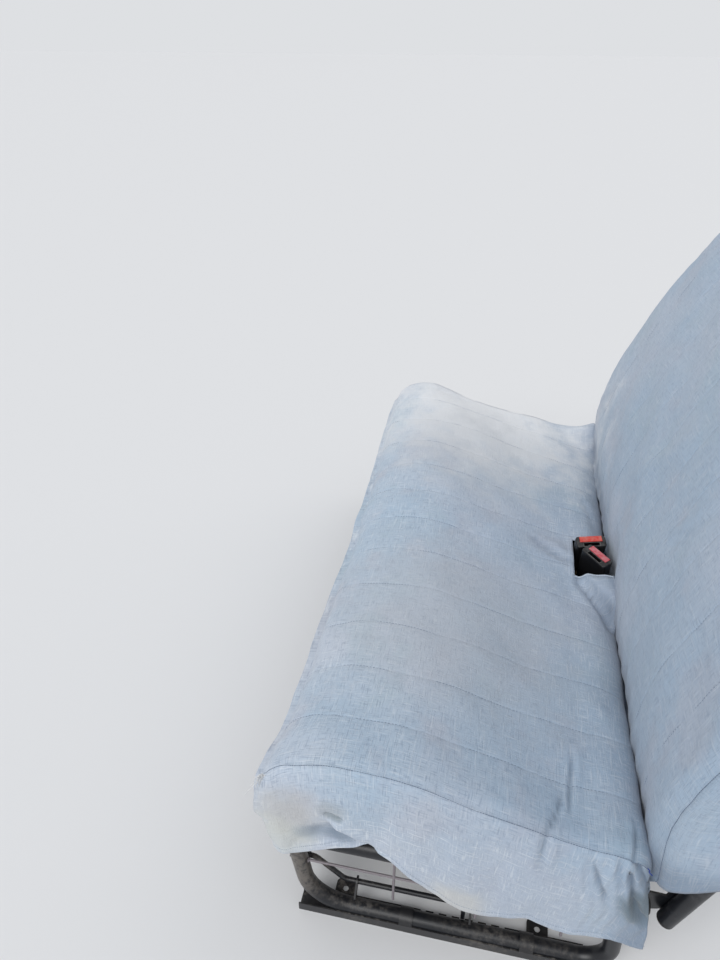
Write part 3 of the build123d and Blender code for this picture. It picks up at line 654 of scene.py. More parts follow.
# Side drops, with the heights of their wavy hems. The left one is caught up in a tuck behind the front
# corner, with a fold over it, and is gathered at its rear.
left_hem_y = (-0.244, -0.236, -0.216, -0.186, -0.148, -0.125, -0.110, -0.101, -0.092, -0.076, -0.060, -0.039,
              -0.014, 0.014, 0.035, 0.059, 0.090, 0.116, 0.135, 0.154, 0.199, 0.240, 0.274)
left_hem_z = (0.155, 0.152, 0.159, 0.1745, 0.195, 0.2035, 0.2085, 0.2085, 0.202, 0.190, 0.178, 0.157,
              0.133, 0.115, 0.107, 0.104, 0.111, 0.120, 0.112, 0.105, 0.104, 0.108, 0.112)
right_hem_y = (-0.244, -0.180, -0.120, -0.060, 0.000, 0.060, 0.120, 0.180, 0.240, 0.274)
right_hem_z = (0.152, 0.158, 0.176, 0.160, 0.134, 0.112, 0.118, 0.104, 0.099, 0.106)
left_folds = (
    (0.0034, ((0.131, 0.345), (0.131, 0.315), (0.131, 0.255)), 0.0075),
    (0.0030, ((-0.154, 0.272), (-0.128, 0.252), (-0.098, 0.230)), 0.0060, 0.2),
    (-0.0085, ((-0.170, 0.281), (-0.152, 0.279), (-0.134, 0.276)), 0.0048, 0.25),
    (-0.0022, ((-0.168, 0.250), (-0.176, 0.232), (-0.180, 0.205)), 0.0070),
    (0.0022, ((-0.190, 0.262), (-0.200, 0.232), (-0.205, 0.195)), 0.0110),
    (-0.0022, ((-0.246, 0.322), (-0.250, 0.295), (-0.254, 0.272)), 0.0050, 0.2),
    (-0.0018, ((-0.07, 0.335), (-0.085, 0.285), (-0.075, 0.230)), 0.0140),
    (0.0022, ((0.020, 0.315), (0.010, 0.250), (0.030, 0.180)), 0.0200),
    (-0.0020, ((0.062, 0.310), (0.055, 0.240), (0.070, 0.150)), 0.0140))
seam_tuck, *gathers = (
    (((0.119, 0.350), (0.120, 0.318), (0.119, 0.281), (0.121, 0.240)), 0.0040, 0.0036, 0.40),
    (((0.180, 0.292), (0.185, 0.279), (0.196, 0.250), (0.210, 0.217), (0.214, 0.205)), 0.0055, 0.0034, 0.55),
    (((0.225, 0.322), (0.236, 0.289), (0.244, 0.268)), 0.0060, 0.0032, 0.55),
    (((0.227, 0.290), (0.231, 0.272), (0.238, 0.240), (0.243, 0.212)), 0.0075, 0.0034, 0.65),
    (((0.233, 0.302), (0.240, 0.282), (0.257, 0.248), (0.262, 0.236)), 0.0070, 0.0034, 0.65),
    (((0.214, 0.300), (0.217, 0.270), (0.222, 0.235)), 0.0036, 0.0036, 0.20),
    (((0.240, 0.228), (0.252, 0.198), (0.268, 0.176)), 0.0140, 0.0070, 0.25),
    (((0.176, 0.300), (0.180, 0.262), (0.186, 0.215)), 0.0026, 0.0055, 0.0))
flap_y, flap_z, flap_run_y, flap_run_z = -0.154, 0.262, 0.804, -0.595
drop_rear_y, rail_outside = 0.276, 0.5896
hem_paths = []
for side, hem_y, hem_z in ((1, left_hem_y, left_hem_z), (-1, right_hem_y, right_hem_z)):
    column = -1 if side > 0 else 0
    upper = long_piece[:top_rows, column]
    corner = long_piece[top_rows:, column]
    distance = row_keys[:top_rows, 0]
    forward = distance / distance[-1]
    low_y = through((0, 1), (drop_rear_y, corner[-1, 1]), forward)
    hem_at = through(hem_y, hem_z, low_y)
    hem_at += (corner[-1, 2] - hem_at[-1]) * smooth(0.92, 1, forward)
    length = upper[:, 2] - hem_at
    shares = drop_shares(length)
    z = upper[:, 2, None] - length[:, None] * shares
    y = upper[:, 1, None] + (low_y - upper[:, 1])[:, None] * shares ** 0.7
    hang = smooth(0, 1, shares)
    belly = 0.010 * np.sin(np.pi * np.clip(shares, 0, 1) ** 0.75)
    tucked = 0.005 * smooth(-0.050, -0.115, y) * shares ** 2
    x = half_width - 0.001 + belly - tucked + hang * 0.003
    x += hang * 0.0038 * ripples(21 if side > 0 else 34, 0.07, 0.24, stretch=5.0, count=8)(y, z)
    x += 0.0005 * ripples(23, 0.02, 0.05, stretch=2.5, count=12)(y, z)
    gathered = smooth(0.165, 0.215, y) * smooth(0.10, 0.16, z) * smooth(0.315, 0.28, z)
    x += 0.0014 * gathered * np.sin(2 * np.pi * y / 0.017 + 7 * z + 1.4 * np.sin(60 * z))
    if side > 0:
        # The side panel's front edge lies over the flap that comes round the corner.
        under = (y - flap_y) * flap_run_z - (z - flap_z) * flap_run_y
        down = (y - flap_y) * flap_run_y + (z - flap_z) * flap_run_z
        beside_flap = smooth(-0.012, 0.008, down) * smooth(0.100, 0.074, down)
        x += 0.0058 * smooth(0.0012, -0.0012, under) * np.exp(np.minimum(under, 0) / 0.045) * beside_flap
        x -= 0.0070 * smooth(-0.0010, 0.0025, under) * np.exp(-np.maximum(under, 0) / 0.022) * beside_flap
        x = folded(x, y, z, left_folds)
        gathered_in, panel_shade = press(y, z, [seam_tuck, *gathers])
        x -= gathered_in
        for line, depth, width, _ in gathers:
            x += 0.5 * depth * crease(y, z, [(p - 0.008, q - 0.002) for p, q in line], width)
    x += np.maximum(0, rail_outside - x) * smooth(0.212, 0.200, z)
    x += hem_relief((1 - shares) * length[:, None])
    x -= 0.0024 * np.exp(-((shares * length[:, None] - 0.0015) / 0.0030) ** 2)
    turn = np.clip((distance[-1] - distance) / (corner_round * 1.15), 0, 1)[:, None]
    angle = math.pi / 4 * (1 + turn)
    edge_x = side_drape - corner_round * (1 - np.sin(angle))
    edge_y = corner[None, :, 1] + corner_round * (math.cos(math.pi / 4) - np.cos(angle))
    round_corner = smooth(1.0, 0.55, turn)
    x = x + (edge_x - half_width) * round_corner
    y = y + (edge_y - y) * round_corner
    panel = np.stack([side * x, y, z], axis=2)
    panel[-1] = corner
    hem_paths.append(panel[:, hem_stitch_row] + (side * 0.0003, 0, 0))
    panel_index = cover.add(panel, panel_shade if side > 0 else 0.0)
    panel_index = np.concatenate([long_index[:top_rows, column, None], panel_index], axis=1)
    panel_index[-1, 1:] = long_index[top_rows:, column]
    fall = np.concatenate([0 * distance[:, None], shares * length[:, None]], axis=1)
    cover.weave(panel_index, np.stack([distance[:, None] + 0 * fall, 1.3 + fall], axis=2), turned=side > 0)

seat_cover = cover.make("seat_cover", cloth_thickness, cover_cotton)
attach(seat_cover, "seat")
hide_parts("seat_cushion", "skirt_front", "skirt_left", "skirt_right")


# Sewing thread: machine stitches along the channels, the seams, the slit and the hems of the seat's
# cover, and threads that have frayed loose at the front corner and at the end of the upper seam.
def stitch_nodes():
    """Nodes that lay short rounded threads end to end along every path of a mesh of edges."""
    tree = bpy.data.node_groups.new("stitches", "GeometryNodeTree")
    for name, way, kind in (("Paths", "INPUT", "Geometry"), ("Pitch", "INPUT", "Float"),
                            ("Length", "INPUT", "Float"), ("Width", "INPUT", "Float"),
                            ("Thread", "INPUT", "Material"), ("Stitches", "OUTPUT", "Geometry")):
        tree.interface.new_socket(name, in_out=way, socket_type="NodeSocket" + kind)
    given, result = tree.nodes.new("NodeGroupInput"), tree.nodes.new("NodeGroupOutput")
    curve = tree.nodes.new("GeometryNodeMeshToCurve")
    spots = tree.nodes.new("GeometryNodeCurveToPoints")
    spots.mode = "LENGTH"
    bead = tree.nodes.new("GeometryNodeMeshIcoSphere")
    bead.inputs["Radius"].default_value = 0.5
    bead.inputs["Subdivisions"].default_value = 1
    vary = tree.nodes.new("FunctionNodeRandomValue")
    vary.inputs[2].default_value, vary.inputs[3].default_value = 0.80, 1.12
    vary.inputs["Seed"].default_value = 7
    long = tree.nodes.new("ShaderNodeMath")
    long.operation = "MULTIPLY"
    size = tree.nodes.new("ShaderNodeCombineXYZ")
    laid = tree.nodes.new("GeometryNodeInstanceOnPoints")
    real = tree.nodes.new("GeometryNodeRealizeInstances")
    shade = tree.nodes.new("GeometryNodeSetShadeSmooth")
    finish = tree.nodes.new("GeometryNodeSetMaterial")
    for start, out, end, into in (
            (given, "Paths", curve, 0), (curve, 0, spots, "Curve"), (given, "Pitch", spots, "Length"),
            (given, "Length", long, 0), (vary, 1, long, 1),
            (given, "Width", size, "X"), (given, "Width", size, "Y"), (long, 0, size, "Z"),
            (spots, "Points", laid, "Points"), (bead, "Mesh", laid, "Instance"),
            (spots, "Rotation", laid, "Rotation"), (size, 0, laid, "Scale"),
            (laid, 0, real, 0), (real, 0, shade, 0), (shade, 0, finish, "Geometry"),
            (given, "Thread", finish, "Material"), (finish, 0, result, 0)):
        tree.links.new(start.outputs[out], end.inputs[into])
    return tree


stitches = stitch_nodes()


def placed(name, mesh, body):
    """A finished piece of a body, made from a mesh."""
    made = linked(name, mesh)
    mesh.name = name
    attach(made, body)
    return made


def sew(name, paths, thread, *, pitch, length, width):
    """Stitches, or weld beads, along paths, each a run of points, as one piece of the seat."""
    mesh = bpy.data.meshes.new(name + "_paths")
    starts = np.cumsum([0] + [len(run) for run in paths])
    mesh.from_pydata(np.concatenate(paths).tolist(), [
        (start + i, start + i + 1) for start, run in zip(starts, paths) for i in range(len(run) - 1)], [])
    blank = linked(name + "_paths", mesh)
    lay = blank.modifiers.new("stitches", "NODES")
    lay.node_group = stitches
    wanted = {"Pitch": pitch, "Length": length, "Width": width, "Thread": thread}
    for socket in stitches.interface.items_tree:
        if socket.in_out == "INPUT" and socket.name in wanted:
            lay[socket.identifier] = wanted[socket.name]
    made = as_mesh(blank)
    bpy.data.objects.remove(blank)
    return placed(name, made, "seat")


def loose_ends(name, runs, thread, radius):
    """Threads that hang free, each a run of points."""
    curve = bpy.data.curves.new(name, "CURVE")
    curve.dimensions, curve.use_fill_caps = "3D", True
    curve.bevel_depth, curve.bevel_resolution = radius, 1
    for run in runs:
        spline = curve.splines.new("POLY")
        spline.points.add(len(run) - 1)
        spline.points.foreach_set("co", np.column_stack([run, np.ones(len(run))]).ravel())
    curve.materials.append(thread)
    blank = linked(name, curve)
    made = as_mesh(blank)
    bpy.data.objects.remove(blank)
    return placed(name, made, "seat")


def cotton_thread(name, colour):
    finish = Finish(name, Roughness=0.85, Specular_IOR_Level=0.2)
    fuzz = finish.noise(finish.place(), 900.0, 2.0)
    finish.feed(Base_Color=finish.blend(fuzz.ramp(0.3, 0.7), [0.7 * level for level in colour], colour))
    return finish.material


blue_thread = cotton_thread("thread_blue", (0.15, 0.19, 0.27))
faded_thread = cotton_thread("thread_faded", (0.235, 0.290, 0.38))
pale_thread = cotton_thread("thread_pale", (0.36, 0.42, 0.50))
white_thread = cotton_thread("thread_white", (0.74, 0.75, 0.76))
roll_cotton = cotton_thread("roll_cotton", (0.50, 0.56, 0.64))

out = outward(long_piece)
raised = long_piece + 0.0002 * out
channel_bite = 0.0009 * smooth(-0.2, 0.5, ripples(61, 0.05, 0.16)(px, row_keys))
sunk = long_piece + (0.0003 - channel_bite)[:, :, None] * out
sewn_keys = row_keys[:top_rows, 0]
channel_runs = []
for k in range(11):
    column = int(np.argmin(abs(columns - (channel_pitch * k - last_channel))))
    beside_slit = slit_x[0] - 0.01 < columns[column] < slit_x[1] + 0.01
    first_key = slit_key + 0.012 if beside_slit else 0.055
    channel_runs.append(sunk[:top_rows, column][(sewn_keys > first_key) & (sewn_keys < top_length - 0.004)])
seat_stitches = sew("seat_stitches", channel_runs, faded_thread, pitch=0.0050, length=0.0036, width=0.0009)
seam_bite = 0.0011 * np.exp(-((py - 0.190) / 0.016) ** 2)
seam_bite += 0.0006 * smooth(0.0, 0.6, ripples(63, 0.06, 0.2)(py, px))
seam_start = int(np.searchsorted(top_keys, 0.0495))
seam_paths = raised - seam_bite[:, :, None] * out
seam_runs = [seam_paths[seam_start:top_rows + 30, column] for column in (0, -1)]
seat_seams = sew("seat_seams", seam_runs, blue_thread, pitch=0.0034, length=0.0038, width=0.0009)
slit_front = int(np.argmin(abs(sewn_keys - slit_key - 0.008)))
slit_columns = (columns > slit_x[0] - 0.008) & (columns < slit_x[1] + 0.008)
hem_runs = [raised[top_rows + hem_stitch_row], *hem_paths, raised[slit_front, slit_columns]]
seat_hems = sew("seat_hems", hem_runs, pale_thread, pitch=0.0036, length=0.0026, width=0.0009)

# The slit's near edge is turned under into a thin pale roll.
roll_column = int(np.argmin(abs(columns - slit_x[1])))
roll_run = long_piece[:top_rows, roll_column][sewn_keys < slit_key + 0.001] + (0.0004, 0, -0.0004)
slit_roll = loose_ends("slit_roll", [roll_run], roll_cotton, radius=0.0017)

# The front corner has frayed, and the upper seam's thread hangs loose at its end.
draw = np.random.RandomState(15)
corner_seam = long_piece[top_rows - 3, -1] + (0.0035, -0.001, 0)
frayed = []
for k in range(16):
    aim = np.array([draw.uniform(0.1, 0.8), draw.uniform(-1.0, -0.3), draw.uniform(-0.8, 0.3)])
    curl = draw.uniform(-1, 1, 3) * 0.5
    reach = draw.uniform(0.010, 0.026)
    t = np.linspace(0, 1, 9)[:, None]
    root = corner_seam + draw.uniform(-1, 1, 3) * (0.0005, 0.003, 0.003)
    frayed.append(root + reach * (aim * t + curl * t * t - np.array([0, 0, 0.35]) * t ** 3))
frayed_corner = loose_ends("frayed_corner", frayed, white_thread, radius=0.00042)
t = np.linspace(0, 1, 12)[:, None]
seam_end = np.array([0.5885, 0.2475, 0.2880]) + t * (0.003, 0.006, -0.008)
seam_end += 0.0015 * np.sin(7 * t) * (0.6, 0.8, 0.3)
deep_blue_thread = cotton_thread("thread_deep_blue", (0.04, 0.07, 0.30))
seam_thread = loose_ends("seam_thread", [seam_end], deep_blue_thread, radius=0.0007)


# Slip cover of the back: a bag of the same cotton, drawn over the cushion and the tube hoop from above.
# Its front is sewn through in upright channels, a band goes round its sides and top, and its rear panel
# hangs open at the foot in a turned hem.
back_foot = Vector((0.0, 0.300, 0.158))
back_lean = math.radians(16)
back_top, back_half_width, back_corner = 0.712, 0.588, 0.110


def on_back(a, b, c):
    """Points from places across the back, up it from the frame's feet, and forward of the frame."""
    y = back_foot.y + b * math.sin(back_lean) - c * math.cos(back_lean)
    z = back_foot.z + b * math.cos(back_lean) + c * math.sin(back_lean)
    return np.stack(np.broadcast_arrays(a, y, z), axis=-1)


back_line, last_line, back_pitch = -0.469, 0.494, 0.107
back_steps = np.array((0, 1.5, 3.5, 8, 15, 23, 32, 42, 53.5, 65, 75, 84, 92, 99, 103.5, 105.5)) / 1000
back_columns = np.concatenate([back_line + back_pitch * k + back_steps for k in range(9)] + [[last_line]])
back_columns = np.concatenate([np.linspace(-back_half_width, back_line, 18)[:-1], back_columns,
                               np.linspace(last_line, back_half_width, 15)[1:]])
profile_b = (0.085, 0.120, 0.160, 0.234, 0.320, 0.414, 0.512, 0.596, 0.647, 0.690, 0.715)
profile_c = (0.074, 0.088, 0.102, 0.1125, 0.1130, 0.105, 0.090, 0.070, 0.055, 0.039, 0.028)
foot_a = (-0.588, -0.480, -0.300, -0.100, 0.100, 0.300, 0.450, 0.588)
foot_b = (0.080, 0.068, 0.076, 0.081, 0.084, 0.088, 0.090, 0.078)
back_shares = np.concatenate([np.linspace(0, 0.90, 84), np.linspace(0.90, 1, 12)[1:]])
plain_edge = 0.40


def back_place(inset, low):
    """Places across and up the back of every column and row, with the outline drawn in by an inset."""
    b = low + (back_top - inset - low) * back_shares[:, None]
    radius = back_corner - inset
    over = np.clip(b - (back_top - inset - radius), 0, radius)
    reach = back_half_width - inset - radius + np.sqrt(radius ** 2 - over ** 2)
    size = abs(back_columns)
    drawn_in = plain_edge + (size - plain_edge) * (reach - plain_edge) / (back_half_width - plain_edge)
    return np.sign(back_columns) * np.where(size > plain_edge, drawn_in, size), b + 0 * back_columns


seam_inset = 0.0085
front_a, front_b = back_place(seam_inset, through(foot_a, foot_b, back_columns))
front_c = through(profile_b, profile_c, front_b)
to_seam = np.minimum(back_half_width - seam_inset - abs(front_a), back_top - seam_inset - front_b)
front_c -= 0.013 * smooth(0.036, -0.006, to_seam) ** 1.5


def buckle_dent(a, b):
    """How far the buckles press the back's foot in."""
    return 0.011 * np.exp(-((a + 0.010) / 0.046) ** 2) * smooth(0.200, 0.135, b)


line_places = (front_a - back_line) / back_pitch
off_line = abs(line_places - np.round(line_places)) * back_pitch
sewn = smooth(back_top - 0.02, back_top - 0.07, front_b) * smooth(0.13, 0.20, front_b)
sewn = sewn * (front_a > back_line - 0.03) * (front_a < last_line + 0.026)
quilt = 0.0010 * np.sin(np.pi * off_line / back_pitch) ** 0.8 - 0.0007 * np.exp(-(off_line / 0.0014) ** 2)
slack = 0.0024 * ripples(41, 0.12, 0.36, count=10)(front_a, front_b)
relief = sewn * quilt + slack * smooth(0, 0.05, back_half_width - abs(front_a))
relief += 0.0005 * ripples(42, 0.03, 0.08, count=12)(front_a, front_b)
relief = folded(relief, front_a, front_b, (
    (-0.0036, ((0.185, 0.285), (0.203, 0.330), (0.222, 0.38), (0.252, 0.455)), 0.006),
    (0.0030, ((0.165, 0.305), (0.190, 0.360), (0.225, 0.44)), 0.014),
    (0.0050, ((-0.10, 0.235), (-0.01, 0.360), (0.07, 0.46)), 0.020, 0.45),
    (-0.0030, ((-0.06, 0.225), (0.03, 0.345), (0.12, 0.44)), 0.022, 0.45),
    (-0.0022, ((-0.42, 0.13), (-0.40, 0.20), (-0.34, 0.27)), 0.010),
    (-0.0022, ((0.47, 0.14), (0.44, 0.21), (0.43, 0.30)), 0.010)))
relief += 0.0012 * smooth(0.16, 0.11, front_b) * np.sin(2 * np.pi * front_a / 0.041 + 3 * np.sin(9 * front_a))
pulled_in = 0.004 * smooth(0.36, 0.45, front_a) + 0.002 * np.exp(-((front_a - 0.50) / 0.035) ** 2)
front_c += relief - buckle_dent(front_a, front_b) - pulled_in * smooth(0.230, 0.140, front_b)

back_bag = SewnCloth()
front_surface = on_back(front_a, front_b, front_c)
front_index = back_bag.add(front_surface)
front_steps = np.linalg.norm(np.diff(front_surface[:, 60], axis=0), axis=1)
back_flat_v = np.concatenate([[0], np.cumsum(front_steps)])[:, None]
back_bag.weave(front_index, np.stack([front_a, back_flat_v + 0 * front_a], axis=2))

# Under the cushion's foot the front turns back towards the frame.
tuck_b = np.array((-0.006, -0.012, -0.019, -0.027, -0.034, -0.040))[:, None]
tuck_c = np.array((0.067, 0.061, 0.057, 0.0545, 0.053, 0.052))[:, None]
tuck_index = back_bag.add(on_back(front_a[0] + 0 * tuck_b, front_b[0] + tuck_b, tuck_c + 0 * front_a[0]))
tuck_index = np.concatenate([front_index[:1], tuck_index])
tuck_flat_v = -0.012 * np.arange(len(tuck_index))[:, None]
back_bag.weave(tuck_index, np.stack([front_a[0] + 0 * tuck_index, tuck_flat_v + 0 * tuck_index], axis=2),
               turned=True)

# The band from the front's seam round to the rear panel, in rounds that share the front's outline. The first
# rounds fall from the seam by a distance, the others lie at a share of the way to the rear.
seam_falls = (0.0012, 0.0040, 0.0085, 0.0145)
seam_insets = (0.0062, 0.0036, 0.0016, 0.0004)
band_shares = (0.06, 0.22, 0.40, 0.58, 0.76, 0.90, 0.95, 0.985, 1.0)
band_insets = (0.0, 0.0, 0.0, 0.0, 0.0, 0.0004, 0.0020, 0.0045, seam_inset)
band_rounds = [(inset, fall, 0) for inset, fall in zip(seam_insets, seam_falls)]
band_rounds += [(inset, seam_falls[-1], share) for inset, share in zip(band_insets, band_shares)]
band_width, rear_level, rear_low = 0.14, -0.0200, 0.138


def outline(grid):
    """The grid's left side from the foot up, its top from left to right, and its right side down."""
    return np.concatenate([grid[:, 0], grid[-1, 1:-1], grid[::-1, -1]])


round_front = outline(front_c)
rounds = []
band_noise = ripples(47, 0.06, 0.25, count=8)
along_outline = np.arange(len(round_front)) * 0.0068
for inset, fall, share in band_rounds:
    low_b = (1 - share) * through(foot_a, foot_b, back_columns) + share * rear_low
    a, b = (outline(part) for part in back_place(inset, low_b))
    start = round_front - fall
    level = start + (rear_level - start) * share
    swell = 0.0030 * math.sin(math.pi * share) * (1 + 0.7 * band_noise(along_outline, share * 0.12))
    away = np.stack([a, b], axis=1) - np.stack([np.clip(a, -0.45, 0.45), np.clip(b, 0, 0.58)], axis=1)
    away /= np.maximum(np.linalg.norm(away, axis=1, keepdims=True), 1e-6)
    rounds.append(on_back(a + swell * away[:, 0], b + swell * away[:, 1], level))
rear_a, rear_b = back_place(seam_inset, rear_low)
inside = smooth(0, 0.06, np.minimum(back_half_width - abs(rear_a), back_top - rear_b))
slack = 0.5 + 0.5 * ripples(52, 0.10, 0.40, count=10)(rear_a, rear_b)
rear_c = folded(rear_level - 0.0048 * slack * inside, rear_a, rear_b, (
    (-0.0022, ((-0.30, 0.66), (-0.26, 0.50), (-0.24, 0.30)), 0.012),
    (0.0020, ((0.22, 0.62), (0.25, 0.45), (0.22, 0.25)), 0.012),
    (-0.0030, ((-0.55, 0.66), (-0.42, 0.54), (-0.30, 0.47)), 0.011),
    (-0.0030, ((0.54, 0.66), (0.44, 0.53), (0.34, 0.42)), 0.011),
    (-0.0030, ((-0.50, 0.21), (-0.10, 0.19), (0.30, 0.21)), 0.011),
    (-0.0030, ((0.05, 0.60), (0.02, 0.42), (0.06, 0.24)), 0.011)))
rear_c -= hem_relief(rear_b - rear_low)
rear_index = back_bag.add(on_back(rear_a, rear_b, rear_c))
back_bag.weave(rear_index, np.stack([rear_a + 1.5, rear_b], axis=2), turned=True)
round_index = back_bag.add(np.array(rounds[:-1]))
band_index = np.concatenate([outline(front_index)[None], round_index, outline(rear_index)[None]])
band_flat_v = 3.0 + np.linspace(0, band_width, len(band_index))[:, None]
back_bag.weave(band_index, np.stack([along_outline + 0 * band_index, band_flat_v + 0 * band_index], axis=2))
back_cover = back_bag.make("back_bag", cloth_thickness, cover_cotton)
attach(back_cover, "seat")
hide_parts("back_cushion", "back_cover")

front_points = on_back(front_a, front_b, front_c + 0.0002)
rear_points = on_back(rear_a, rear_b, rear_c - 0.0002)
line_bite = 0.0009 * smooth(-0.7, 0.1, ripples(62, 0.05, 0.16)(front_a, front_b))
front_sunk = on_back(front_a, front_b, front_c + 0.0003 - line_bite)
back_runs = []
for k in range(10):
    column = int(np.argmin(abs(back_columns - (back_line + back_pitch * k))))
    rows = (front_b[:, column] > 0.135) & (front_b[:, column] < back_top - 0.03)
    back_runs.append(front_sunk[rows, column])
back_stitches = sew("back_stitches", back_runs, faded_thread, pitch=0.0050, length=0.0036, width=0.0009)
back_seams = sew("back_seams", [outline(front_points), outline(rear_points)], blue_thread,
                 pitch=0.0036, length=0.0038, width=0.0010)
back_hem = sew("back_hem", [rear_points[2]], pale_thread, pitch=0.0038, length=0.0027, width=0.0010)


# Pads under the covers: foam in black vinyl, the seat's with a pocket cut out for the buckles. Each is
# swollen as a closed skin under pressure. They show in the slit and between the seat and the back.
def pad_block(name, upper, lower, kept):
    """A closed block between two grids of points, over the grid's kept cells."""
    rows, columns = upper.shape[:2]
    work = bmesh.new()
    top_points = [[work.verts.new(point) for point in line] for line in upper]
    low_points = [[work.verts.new(point) for point in line] for line in lower]

    def has(row, column):
        return 0 <= row < rows - 1 and 0 <= column < columns - 1 and kept[row, column]
    for row in range(rows - 1):
        for column in range(columns - 1):
            if not has(row, column):
                continue
            ring = [(row, column), (row, column + 1), (row + 1, column + 1), (row + 1, column)]
            work.faces.new([top_points[r][c] for r, c in ring])
            work.faces.new([low_points[r][c] for r, c in reversed(ring)])
            for (start, end), beyond in zip(zip(ring, ring[1:] + ring[:1]), (
                    (row - 1, column), (row, column + 1), (row + 1, column), (row, column - 1))):
                if not has(*beyond):
                    work.faces.new([top_points[end[0]][end[1]], top_points[start[0]][start[1]],
                                    low_points[start[0]][start[1]], low_points[end[0]][end[1]]])
    unused = [vertex for vertex in work.verts if not vertex.link_faces]
    bmesh.ops.delete(work, geom=unused, context="VERTS")
    bmesh.ops.recalc_face_normals(work, faces=work.faces)
    mesh = bpy.data.meshes.new(name)
    work.to_mesh(mesh)
    work.free()
    return mesh


def swollen(name, mesh, voxel=0.0065, cap=0.008):
    """The block as a stuffed skin: rounded by a remesh, then blown up a little with its movement capped."""
    pad = linked(name, mesh)
    skin = pad.modifiers.new("skin", "REMESH")
    skin.mode, skin.voxel_size = "VOXEL", voxel
    pad.data = as_mesh(pad)
    pad.modifiers.clear()
    before = np.array([vertex.co for vertex in pad.data.vertices])
    cloth = pad.modifiers.new("cloth", "CLOTH")
    cloth.settings.use_pressure = True
    cloth.settings.uniform_pressure_force = 4.0
    cloth.settings.effector_weights.gravity = 0.0
    cloth.settings.quality = 3
    moments = 20
    cloth.point_cache.frame_end = moments
    for moment in range(1, moments + 1):
        scene.frame_set(moment)
    settled = pad.evaluated_get(bpy.context.evaluated_depsgraph_get()).data
    after = np.array([vertex.co for vertex in settled.vertices])
    pad.modifiers.clear()
    scene.frame_set(1)
    moved = after - before
    length = np.linalg.norm(moved, axis=1, keepdims=True)
    moved *= np.minimum(1, cap / np.maximum(length, 1e-9))
    pad.data.vertices.foreach_set("co", (before + moved).ravel())
    pad.data.shade_smooth()
    pad.data.materials.clear()
    pad.data.materials.append(vinyl.material)
    pad.data.name = name
    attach(pad, "seat")
    return pad


vinyl = Finish("black_vinyl", Specular_IOR_Level=0.25, Roughness=0.62)
vinyl_place = vinyl.place()
vinyl_grain = vinyl.noise(vinyl_place, 620.0, 3.0, 0.6)
vinyl_dust = vinyl.noise(vinyl_place, 30.0, 3.0, 0.6)
vinyl.feed(Base_Color=vinyl.blend(vinyl_dust.ramp(0.5, 0.8) * 0.4,
                                  (0.006, 0.006, 0.007), (0.025, 0.024, 0.023)),
           Normal=vinyl.bump(vinyl_grain, 0.0004, 0.5))

pad_half_width, pad_front_y, pad_rear_y = 0.560, -0.228, 0.248
pocket_left, pocket_right, pocket_front = 0.040, -0.112, 0.172
springing_z, springing_fall = 0.2492, 0.0928
pad_x, pad_y = np.linspace(-pad_half_width, pad_half_width, 113), np.linspace(pad_front_y, pad_rear_y, 49)
pad_sections = through(sections_x, sections_z, pad_x)
pad_top = np.array([np.interp(pad_y, section_y[::-1], line[::-1]) for line in pad_sections]).T - 0.017
pad_top = np.maximum(pad_top, np.where(pad_y > 0.150, 0.225, 0)[:, None])
pad_low = (springing_z - (pad_y - pad_front_y) * springing_fall)[:, None] + 0 * pad_top
beside_buckles = (pad_x > pocket_right) & (pad_x < pocket_left)
pad_top = np.where((pad_y > pocket_front)[:, None] & beside_buckles, pad_low + 0.012, pad_top)
pad_grid = [np.stack([pad_x + 0 * level, pad_y[:, None] + 0 * level, level], axis=2)
            for level in (pad_top, pad_low)]
middle_x, middle_y = (pad_x[1:] + pad_x[:-1]) / 2, (pad_y[1:] + pad_y[:-1])[:, None] / 2
pocket = middle_y > np.where(middle_x < -0.035, 0.197, 0.188)
pocket = pocket & (middle_x > pocket_right) & (middle_x < pocket_left)
seat_pad = swollen("seat_pad", pad_block("seat_pad", *pad_grid, ~pocket))
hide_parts("seat_cushion")

pad_a, pad_b = np.meshgrid(np.linspace(-pad_half_width, pad_half_width, 105), np.linspace(0.125, 0.690, 54))
pad_front = through(profile_b, profile_c, pad_b) - 0.018 - buckle_dent(pad_a, pad_b)
pad_points = [on_back(pad_a, pad_b, level) for level in (pad_front, 0.022 + 0 * pad_front)]
rounded = np.hypot(np.maximum(abs(pad_a) - 0.46, 0), np.maximum(pad_b - 0.59, 0)) < 0.105
kept = rounded[:-1, :-1] & rounded[1:, 1:]
back_pad = swollen("back_pad", pad_block("back_pad", *pad_points, kept))
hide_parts("back_cushion")


# Belt buckles: black plastic cases with red push buttons, dusty on their ends, on stalks of black belt
# webbing that are bolted to the seat's rear rail.
def belt_webbing(name):
    """Ribbed black belt webbing, greyed in patches."""
    finish = Finish(name, Roughness=0.8, Specular_IOR_Level=0.3)
    where = finish.place()
    x, _, z = finish.axes(where)
    ribs = (z * (2 * math.pi / 0.0022) + (x * (2 * math.pi / 0.0044)).wave() * 1.2).wave()
    grime = finish.noise(where, 80.0, 3.0, 0.6).ramp(0.4, 0.75) * 0.5
    finish.feed(Base_Color=finish.blend(grime, (0.014, 0.014, 0.015), (0.065, 0.062, 0.06)),
                Normal=finish.bump(ribs, 0.0005, 0.6))
    return finish.material


